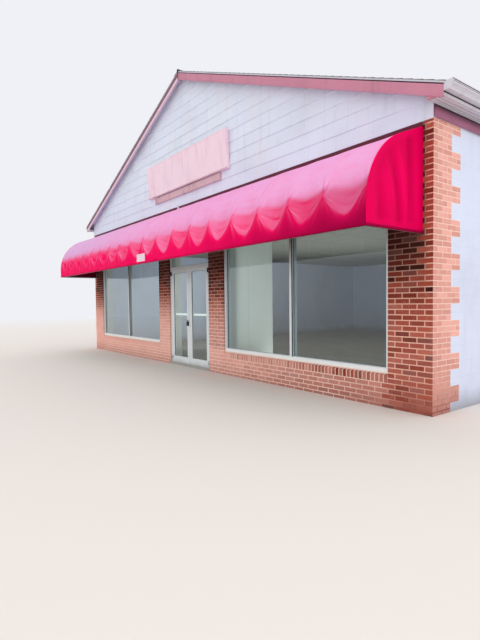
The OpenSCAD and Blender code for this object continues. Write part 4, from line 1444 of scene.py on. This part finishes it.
        # The paleness: sun fading with painted light on the slope and painted shade in the folds;
        # the far left bays blend to an even painted fall from pale above to dark below.
        shade = pale_rib + (pale - pale_rib) * side
        shade *= 1 + (bay["pale"] - 1) * smooth(t, 1.27, 1.33)
        soft = 1 - smooth(t + 0.10 * share * lip, 1.12, 1.45)
        shade += (soft - shade) * bay["even"] + crest
        return point, clamp(shade)

    def cloth_piece(self, bm, name, flat, even=True):
        """Makes a piece of cloth, whose UVs are the metres that flat gives for a vertex."""
        uv = bm.loops.layers.uv["cloth"]
        for face in bm.faces:
            for loop in face.loops:
                loop[uv].uv = flat(loop.vert)
        return into_piece(bm, name, "Coated awning cloth", even=even)

    def grid(self, columns, rows, layer, down):
        """An even sheet with a value layer. Returns it, the layer and its vertices by rows."""
        bm = bmesh.new()
        bmesh.ops.create_grid(bm, x_segments=columns - 1, y_segments=rows - 1, size=1.0)
        bm.loops.layers.uv.new("cloth")
        values = bm.verts.layers.float.new(layer)
        return bm, values, sorted(bm.verts, key=lambda v: (down * round(v.co.y, 5), v.co.x))

    def cover(self):
        """The one sheet over the slope and the front."""
        rows, xs = self.rows(), self.columns()
        bm, fade_and_light, places = self.grid(len(xs), len(rows), "fade_and_light", -1)
        flat = {}
        for order, vert in enumerate(places):
            row, column = divmod(order, len(xs))
            vert.co, vert[fade_and_light] = self.cloth_point(xs[column], rows[row])
            flat[vert] = (xs[column], self.total - rows[row])
        face_out(bm, Vector((0, -1, 0.4)))
        cover = self.cloth_piece(bm, "awning_cloth", flat.get)
        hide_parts("awning_cover")

    def end_line(self):
        """Points down the edge of an end, from the wall to the front."""
        return [self.rib_point(self.bent * i / self.END_COLUMNS)[:2]
                for i in range(self.END_COLUMNS + 1)]

    def ends(self):
        """The two closed ends, whose cloth falls in broad upright folds between the tubes."""
        line = self.end_line()
        area = sum((b[0] - a[0]) * ((a[1] + b[1]) / 2 - COVER_LOW.z)
                   for a, b in zip(line, line[1:]))
        for side, name in SIDES:
            bm, shaded, places = self.grid(len(line), self.END_ROWS + 1, "shaded", 1)
            for order, vert in enumerate(places):
                up, column = divmod(order, len(line))
                out, crest = line[column]
                z = COVER_LOW.z + (crest - COVER_LOW.z) * up / self.END_ROWS
                stand, vert[shaded] = self.end_wave(out, z)
                vert.co = Vector((side * (COVER_HIGH.x + stand), FACE_Y - out, z))
            face_out(bm, Vector((side, 0, 0)))
            end = self.cloth_piece(bm, "awning_end_" + name, lambda v: (
                v.co.y - COVER_LOW.y + 0.3, v.co.z - COVER_LOW.z))

    def end_wave(self, out, z):
        """How far an end stands out of its plane at a place, and how much painted shade lies there.
        """
        k, up = out / self.depth, (z - COVER_LOW.z) / (self.top - COVER_LOW.z)
        if out <= self.straight * math.cos(self.s.pitch):
            edge = self.top - math.tan(self.s.pitch) * out - z
        elif z < self.level:
            edge = self.depth - out
        else:
            edge = self.s.bend - math.hypot(out - self.middle, z - self.level)
        inside = smooth(min(edge, z - COVER_LOW.z, out), 0.030, 0.13)
        wave = -0.55
        for centre, drift, width, gain, low, high in self.WAVES:
            reach = smooth(up, low, low + 0.25) * (1 - smooth(up, high - 0.35, high))
            wave += gain * reach * math.exp(-((k - centre - drift * up * up) / width) ** 2)
        wave += 0.9 * noise.noise((out * 3.4, z * 1.5 + out, 7.0))
        stand = 0.024 * wave * inside if wave < 0 else min(0.010 * wave * inside, 0.008)
        # Painted shade: darker in the valleys of the waves and close to the wall.
        dark = 0.22 - 0.26 * wave * inside + 0.22 * (1 - smooth(out, 0.0, 0.06))
        return stand, clamp(dark, 0.05)

    def welts(self):
        """Sewn welts along the end ribs and a doubled hem along the bottom."""
        bm = bmesh.new()
        line = self.end_line() + [(self.depth, COVER_LOW.z)]
        low, high = COVER_LOW.z - 0.001, COVER_LOW.z + self.s.hem
        for side, _ in SIDES:
            x = side * (COVER_HIGH.x - 0.001)
            tube_along(bm, [Vector((x, FACE_Y - out, z)) for out, z in line[1:]], 0.0042, 8)
            add_box(bm, (x, COVER_LOW.y, low), (side * (COVER_HIGH.x + 0.0022), FACE_Y - 0.004,
                                                high))
        add_box(bm, (-COVER_HIGH.x, COVER_LOW.y - 0.0024, low),
                (COVER_HIGH.x, COVER_LOW.y + 0.0002, high))
        bm.loops.layers.uv.new("cloth")
        self.cloth_piece(bm, "awning_welts", lambda v: (v.co.x + v.co.y + 0.5,
                                                        v.co.z - COVER_LOW.z), even=False)

    def head_strip(self):
        """The dark strip between the cloth and the siding, and the white bracket on it."""
        strip, bracket = Stack(0.002), Stack(0.003, 2)
        end, low = COVER_HIGH.x - 0.012, COVER_HIGH.z
        for x0, x1 in ((-end, -2.438), (-2.436, 0.0), (0.002, 2.438), (2.440, end)):
            strip.box((x0, FACE_Y - 0.017, low + 0.002), (x1, FACE_Y + LAP, WALL_TOP - 0.018),
                      (random.random(),))
        strip.piece("awning_head_strip", "Strip paint")
        bracket.box((-0.345, FACE_Y - 0.030, low - 0.004),
                    (-0.275, FACE_Y - 0.016, WALL_TOP + 0.012))
        bracket.box((-0.335, FACE_Y - 0.046, low + 0.020), (-0.285, FACE_Y - 0.028, low + 0.045))
        bracket.piece("awning_head_bracket", "White metal")


class CORNERSHOP_OT_glaze_front(Operator):
    """Fit gaskets, beads, sealant, pivots and the saddle of the shopfront"""
    bl_idname = "corner_shop.glaze_front"
    bl_label = "Glaze front"

    ARM_H, PLAY = 0.046, 0.0003

    def execute(self, context):
        s = context.scene.shop_front
        self.sealant()
        self.seal(s, "fixed", "building", self.panes(s), WINDOW_Y + s.glass_back,
                  (s.gasket, 0.006), (s.bead * 0.75, 0.012, 0.0012))
        self.sills(s)
        for side, name in SIDES:
            self.leaf(s, side, name)
        self.saddle()
        self.lock_box()
        return {"FINISHED"}

    def clear_opening(self, node):
        """The (x, z) corners of the glass of a node that shows between its rubbers."""
        low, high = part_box(node)
        return ((low.x + PANE_BITE, low.z + PANE_BITE), (high.x - PANE_BITE, high.z - PANE_BITE))

    def panes(self, s):
        """Clear openings of the fixed panes as (x, z) corners, right side first."""
        middle = (PIER_OUT + CORNER_IN) / 2
        low, high = SILL_Z + s.sill, HEAD_Z - s.member
        windows = [((PIER_OUT + s.member, low), (middle - s.member / 2, high)),
                   ((middle + s.member / 2, low), (CORNER_IN - s.member, high))]
        mirrored = [((-x1, z0), (-x0, z1)) for (x0, z0), (x1, z1) in windows]
        return windows + mirrored + [self.clear_opening("transom_glass")]

    def seal(self, s, name, body, panes, glass_y, rubber, bead):
        """Rubber and beads on both faces of the panes, by their widths, thicknesses and ease."""
        rubbers, beads = Stack(0.0008), Stack(bead[2])
        for low, high in panes:
            for out in (-1, 1):
                glass, skin = glass_y + out * s.glass_t / 2, out * rubber[1]
                rubbers.ring(low, high, rubber[0], glass, glass + skin)
                beads.ring(low, high, bead[0], glass + skin, glass + skin + out * bead[1])
        rubbers.piece("gaskets_" + name, "Glazing rubber", body)
        beads.piece("glazing_beads_" + name, "Frame enamel", body)

    def sealant(self):
        """A bead of sealant between the frames and the brick."""
        stack = Stack(0.0012)
        for x0, x1, z0 in ((PIER_OUT, CORNER_IN, SILL_Z), (-CORNER_IN, -PIER_OUT, SILL_Z),
                           (-PIER_IN, PIER_IN, THRESHOLD_Z)):
            stack.ring((x0 - LAP, z0 - LAP), (x1 + LAP, HEAD_Z + LAP), 0.006,
                       WINDOW_Y - 0.003, WINDOW_Y + 0.002)
        stack.piece("frame_sealant", "Painted block")

    def sills(self, s):
        """A bright face on each window sill member, and the mullions' faces and dark sides."""
        beds, noses, faces, sides = (Stack(0.004, 2), Stack(0.0015, 2), Stack(0.0015, 2),
                                     Stack(0.0006))
        low, high = SILL_Z + s.sill, HEAD_Z - s.member
        middle, half = (PIER_OUT + CORNER_IN) / 2, s.member / 2
        noses.pairs(((PIER_OUT + LAP, WINDOW_Y - 0.004, SILL_Z + 0.016),
                     (CORNER_IN - LAP, WINDOW_Y + LAP, low + LAP)))
        beds.pairs(((PIER_OUT + LAP, WINDOW_Y - 0.010, SILL_Z + 0.002),
                    (CORNER_IN - LAP, WINDOW_Y + LAP, SILL_Z + 0.019)))
        for side, _ in SIDES:
            x = side * middle
            faces.box((x - half - 0.004, WINDOW_Y - 0.0045, low),
                      (x + half - 0.003, WINDOW_Y + LAP, high))
            for edge in (-1, 1):
                sides.box((x + edge * (half - 0.003), WINDOW_Y - 0.0015, low - LAP),
                          (x + edge * (half + 0.002), WINDOW_Y + s.glass_back - 0.005, high + LAP))
        beds.piece("window_sill_beds", "Sanded mortar")
        noses.piece("window_sill_noses", "Bright enamel")
        faces.piece("mullion_faces", "Mullion enamel")
        sides.piece("mullion_channels", "Glazing rubber")

    def leaf(self, s, side, name):
        """The grip on the push bar of one leaf, its gaskets and beads, and its pivot caps."""
        body, node = name + "_door", "door_glass_" + name
        low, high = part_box("push_bar_" + name)
        grip = Stack(0.008, 3)
        grip.box((low.x + 0.06, low.y - 0.003, low.z - 0.010),
                 (high.x - 0.06, high.y + 0.003, high.z + 0.010))
        grip.piece("push_grip_" + name, "Bright enamel", body)
        low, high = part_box(node)
        self.seal(s, "door_" + name, body, [self.clear_opening(node)], (low.y + high.y) / 2,
                  (s.gasket + 0.001, 0.005), (s.bead * 0.6, 0.008, 0.001))
        x, y, _ = next(joint for joint in frame["joints"]
                       if joint["name"] == name + "_door_swing")["pos_m"]
        low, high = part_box("door_pivots")
        caps = bmesh.new()
        for z in (low.z + self.ARM_H + self.PLAY, high.z - 2 * self.ARM_H - self.PLAY):
            add_stub(caps, (x, y, z + self.ARM_H / 2), 0.0132, 0.0132, self.ARM_H - 0.001,
                     segments=28)
            add_box(caps, (x - side * 0.0315, y + 0.004, z + 0.0005),
                    (x - side * 0.003, y + 0.0188, z + self.ARM_H - 0.0005))
        ease(caps, [e for e in caps.edges if e.is_boundary or e.calc_face_angle(0) > 1.0], 0.0008)
        into_piece(caps, "pivot_caps_" + name, "Dark steel", body)

    def saddle(self):
        """A ribbed metal saddle on the threshold, under the leaves."""
        stack = Stack(0.0008)
        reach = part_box("door_leaf_right")[1].x + 0.003
        near, top = WINDOW_Y - 0.022, THRESHOLD_Z
        stack.box((-reach, near, top - 0.001), (reach, near + 0.125, top + 0.0022))
        for index in range(9):
            y = near + 0.012 + index * 0.0125
            stack.box((-reach, y, top + 0.001), (reach, y + 0.0045, top + 0.0038))
        stack.piece("door_saddle", "Frame enamel")

    def lock_box(self):
        """A black key box over the lock, with its lid and shackle."""
        low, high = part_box("door_lock")
        x, z, face = (low.x + high.x) / 2, (low.z + high.z) / 2, high.y
        stack = Stack(0.004, 2)
        for x0, x1, y0, y1, z0, z1 in (
                (-0.031, 0.031, -0.030, -0.001, -0.062, 0.030),
                (-0.025, 0.025, -0.034, -0.028, -0.056, 0.012),
                (-0.020, -0.013, -0.016, -0.008, 0.028, 0.062),
                (0.013, 0.020, -0.016, -0.008, 0.028, 0.062),
                (-0.020, 0.020, -0.017, -0.007, 0.056, 0.066)):
            stack.box((x + x0, face + y0, z + z0), (x + x1, face + y1, z + z1))
        stack.piece("key_box", "Black enamel", "left_door")


class CORNERSHOP_OT_dress_sign(Operator):
    """Edge the bare sign and the narrow board under it"""
    bl_idname = "corner_shop.dress_sign"
    bl_label = "Dress sign"

    LEDGE = 0.022

    def execute(self, context):
        s = context.scene.shop_sign
        edges, under, screws = Stack(0.0015), Stack(0.0015), bmesh.new()
        bottom, top, near = SIGN_LOW.z + self.LEDGE, SIGN_HIGH.z, SIGN_LOW.y + s.lean
        x0, x1, edge = SIGN_LOW.x, SIGN_HIGH.x, s.border
        for left, right, low, high in ((x0 - LAP, x0 + edge, bottom, top),
                                       (x1 - edge, x1 + LAP, bottom, top),
                                       (x0 + edge, x1 - edge, bottom, bottom + edge),
                                       (x0 + edge, x1 - edge, top - edge, top + LAP)):
            edges.box((left, near - 0.0035, low), (right, near + 0.004, high))
        for x in (x0 + (x1 - x0) / 3, x0 + 2 * (x1 - x0) / 3):
            edges.box((x - 0.009, near - 0.0015, bottom + edge), (x + 0.009, near + 0.004,
                                                                  top - edge))
        whole = edges.done()
        for vert in whole.verts:
            vert.co.y -= s.lean * (vert.co.z - bottom) / (top - bottom)
        into_piece(whole, "sign_edge", "Sign face")
        under.box((x0 - 0.004, near - 0.026, bottom - self.LEDGE - 0.002),
                  (x1 + 0.004, near - 0.020, bottom - 0.004))
        for low, high in ((STRIP_HIGH.z - 0.016, STRIP_HIGH.z - 0.001),
                          (STRIP_LOW.z + 0.001, STRIP_LOW.z + 0.012)):
            under.box((STRIP_LOW.x, STRIP_LOW.y - 0.003, low), (STRIP_HIGH.x, STRIP_LOW.y + LAP,
                                                                high))
        under.piece("sign_ledge_edge", "Sign strip")
        low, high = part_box("awning_panel")
        for x in (low.x + 0.02, high.x - 0.02):
            for z in (low.z + 0.02, high.z - 0.02):
                add_stub(screws, (x, low.y - 0.001, z), 0.0055, 0.004, 0.003, math.pi / 2, 12)
        into_piece(screws, "panel_screws", "Dipped steel")
        return {"FINISHED"}


class CORNERSHOP_OT_set_stage(Operator):
    """Set the floor, the soft light and the camera"""
    bl_idname = "corner_shop.set_stage"
    bl_label = "Set stage"

    EYE = (8.534, -11.125, 1.373)
    HEADING, PITCH, ROLL = 53.08, -2.19, -0.64
    LENS, SENSOR = 25.93, 36.0

    def execute(self, context):
        scene = context.scene
        s = scene.shop_stage
        self.world(scene, s)
        self.floor(scene, s)
        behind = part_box("door_glass_right")[1].y + 0.004
        self.lamp(scene, "Key light", s.key, 9.0, (15.0, -9.0, 11.0), (3.0, -4.0, 2.0))
        for name, power, size, place, target in (
                ("Shop light", s.shop, 7.0, (0.4, -1.8, 0.25), (0.4, -1.8, 3.0)),
                ("Window light", s.window, 3.4, (3.15, PIER_HIGH.y - 0.02, 1.5), (3.15, 0.0, 1.5)),
                ("Wall light", s.wall, 3.0, (-2.6, -3.9, 1.5), (-5.0, -3.9, 1.5)),
                ("Door light", s.door, 1.5, (0.0, behind, 1.2), (0.0, 0.0, 1.2))):
            lamp = self.lamp(scene, name, power, size, place, target)
            lamp.visible_transmission = lamp.visible_glossy = lamp.visible_camera = False
            if name != "Shop light":
                lamp.data.shape, lamp.data.size_y = "RECTANGLE", 2.1
            if name == "Door light":
                lamp.data.color = (1.0, 0.94, 0.86)
        self.camera(scene)
        scene.view_settings.view_transform = "Standard"
        return {"FINISHED"}

    def world(self, scene, s):
        """Even light from all round; rays from the camera, metal and glass see the backdrop."""
        world = bpy.data.worlds.new("Studio")
        world.use_nodes = True
        n = Nodes(world.node_tree)
        light = n.tree.nodes["Background"]
        n.feed(light, {"Color": (1, 1, 1, 1), "Strength": s.dome})
        shown = n.add("Background", {"Color": tuple(s.backdrop), "Strength": 1.0})
        path = n.tree.nodes.new("ShaderNodeLightPath").outputs
        seen = n.most(path["Is Camera Ray"],
                      n.most(path["Is Glossy Ray"], path["Is Transmission Ray"]))
        n.blend_shaders("World Output", seen, light.outputs[0], shown)
        scene.world = world

    def floor(self, scene, s):
        """A wide pale disc that takes the shadow and fades into the backdrop."""
        bm = bmesh.new()
        bmesh.ops.create_circle(bm, cap_ends=True, segments=96, radius=70.0,
                                matrix=Matrix.Translation((0, 0, -0.0006)))
        mesh = bpy.data.meshes.new("floor")
        bm.to_mesh(mesh)
        bm.free()
        floor = bpy.data.objects.new("floor", mesh)
        scene.collection.objects.link(floor)
        n = Finish("Pale floor")
        n.feed(n.shader, {"Base Color": tuple(s.floor), "Roughness": 0.9,
                          "Specular IOR Level": 0.2})
        far = n.add("VectorMath", {0: n.place}, "Value", operation="LENGTH")
        glow = n.add("Emission", {"Color": tuple(s.backdrop), "Strength": 1.0})
        n.blend_shaders("Material Output", n.soft(far, 11.0, 42.0), n.shader.outputs[0], glow)
        mesh.materials.append(n.material)

    def lamp(self, scene, name, power, size, place, target):
        """A soft round lamp at a place, turned to a target."""
        data = bpy.data.lights.new(name, "AREA")
        data.energy, data.size, data.shape = power, size, "DISK"
        lamp = bpy.data.objects.new(name, data)
        lamp.location = place
        lamp.rotation_euler = (Vector(target) - Vector(place)).to_track_quat("-Z", "Y").to_euler()
        scene.collection.objects.link(lamp)
        return lamp

    def camera(self, scene):
        """The camera at the photographed place, fitted to the corners of the building."""
        heading, pitch, roll = (math.radians(a) for a in (self.HEADING, self.PITCH, self.ROLL))
        level = Vector((-math.sin(heading), math.cos(heading), 0))
        right = Vector((math.cos(heading), math.sin(heading), 0))
        upright = Vector((0, 0, 1))
        ahead = level * math.cos(pitch) + upright * math.sin(pitch)
        up = -level * math.sin(pitch) + upright * math.cos(pitch)
        right, up = (right * math.cos(roll) + up * math.sin(roll),
                     -right * math.sin(roll) + up * math.cos(roll))
        data = bpy.data.cameras.new("Camera")
        data.lens, data.sensor_width, data.clip_end = self.LENS, self.SENSOR, 500.0
        camera = bpy.data.objects.new("Camera", data)
        turn = Matrix((right, up, -ahead)).transposed().to_4x4()
        camera.matrix_world = Matrix.Translation(self.EYE) @ turn
        scene.collection.objects.link(camera)
        scene.camera = camera


SETTINGS = {
    "shop_bricks": BrickSettings, "shop_walls": WallSettings, "shop_siding": SidingSettings,
    "shop_roof": RoofSettings, "shop_awning": AwningSettings, "shop_front": ShopfrontSettings,
    "shop_sign": SignSettings, "shop_stage": StageSettings,
}
STEPS = (
    (CORNERSHOP_OT_finish_frame, "shop_walls"), (CORNERSHOP_OT_lay_bricks, "shop_bricks"),
    (CORNERSHOP_OT_hang_siding, "shop_siding"), (CORNERSHOP_OT_lay_shingles, "shop_roof"),
    (CORNERSHOP_OT_fit_trim, None), (CORNERSHOP_OT_stretch_awning, "shop_awning"),
    (CORNERSHOP_OT_glaze_front, "shop_front"), (CORNERSHOP_OT_dress_sign, "shop_sign"),
    (CORNERSHOP_OT_set_stage, "shop_stage"),
)


class CORNERSHOP_PT_panel(Panel):
    """Lists the steps with their sizes and colours."""
    bl_idname = "CORNERSHOP_PT_panel"
    bl_label = "Corner shop"
    bl_space_type = "VIEW_3D"
    bl_region_type = "UI"
    bl_category = "Corner shop"

    def draw(self, context):
        for step, settings in STEPS:
            box = self.layout.box()
            box.operator(step.bl_idname)
            if settings:
                group = getattr(context.scene, settings)
                for name in group.__annotations__:
                    box.prop(group, name)


def register():
    for name, settings in SETTINGS.items():
        bpy.utils.register_class(settings)
        setattr(bpy.types.Scene, name, PointerProperty(type=settings))
    for step, _ in STEPS:
        bpy.utils.register_class(step)
    bpy.utils.register_class(CORNERSHOP_PT_panel)


def unregister():
    bpy.utils.unregister_class(CORNERSHOP_PT_panel)
    for step, _ in reversed(STEPS):
        bpy.utils.unregister_class(step)
    for name, settings in SETTINGS.items():
        delattr(bpy.types.Scene, name)
        bpy.utils.unregister_class(settings)


def main():
    """Runs every step."""
    register()
    shop = bpy.ops.corner_shop
    shop.finish_frame()
    shop.lay_bricks()
    shop.hang_siding()
    shop.lay_shingles()
    shop.fit_trim()
    shop.stretch_awning()
    shop.glaze_front()
    shop.dress_sign()
    shop.set_stage()


if __name__ == "__main__":
    main()
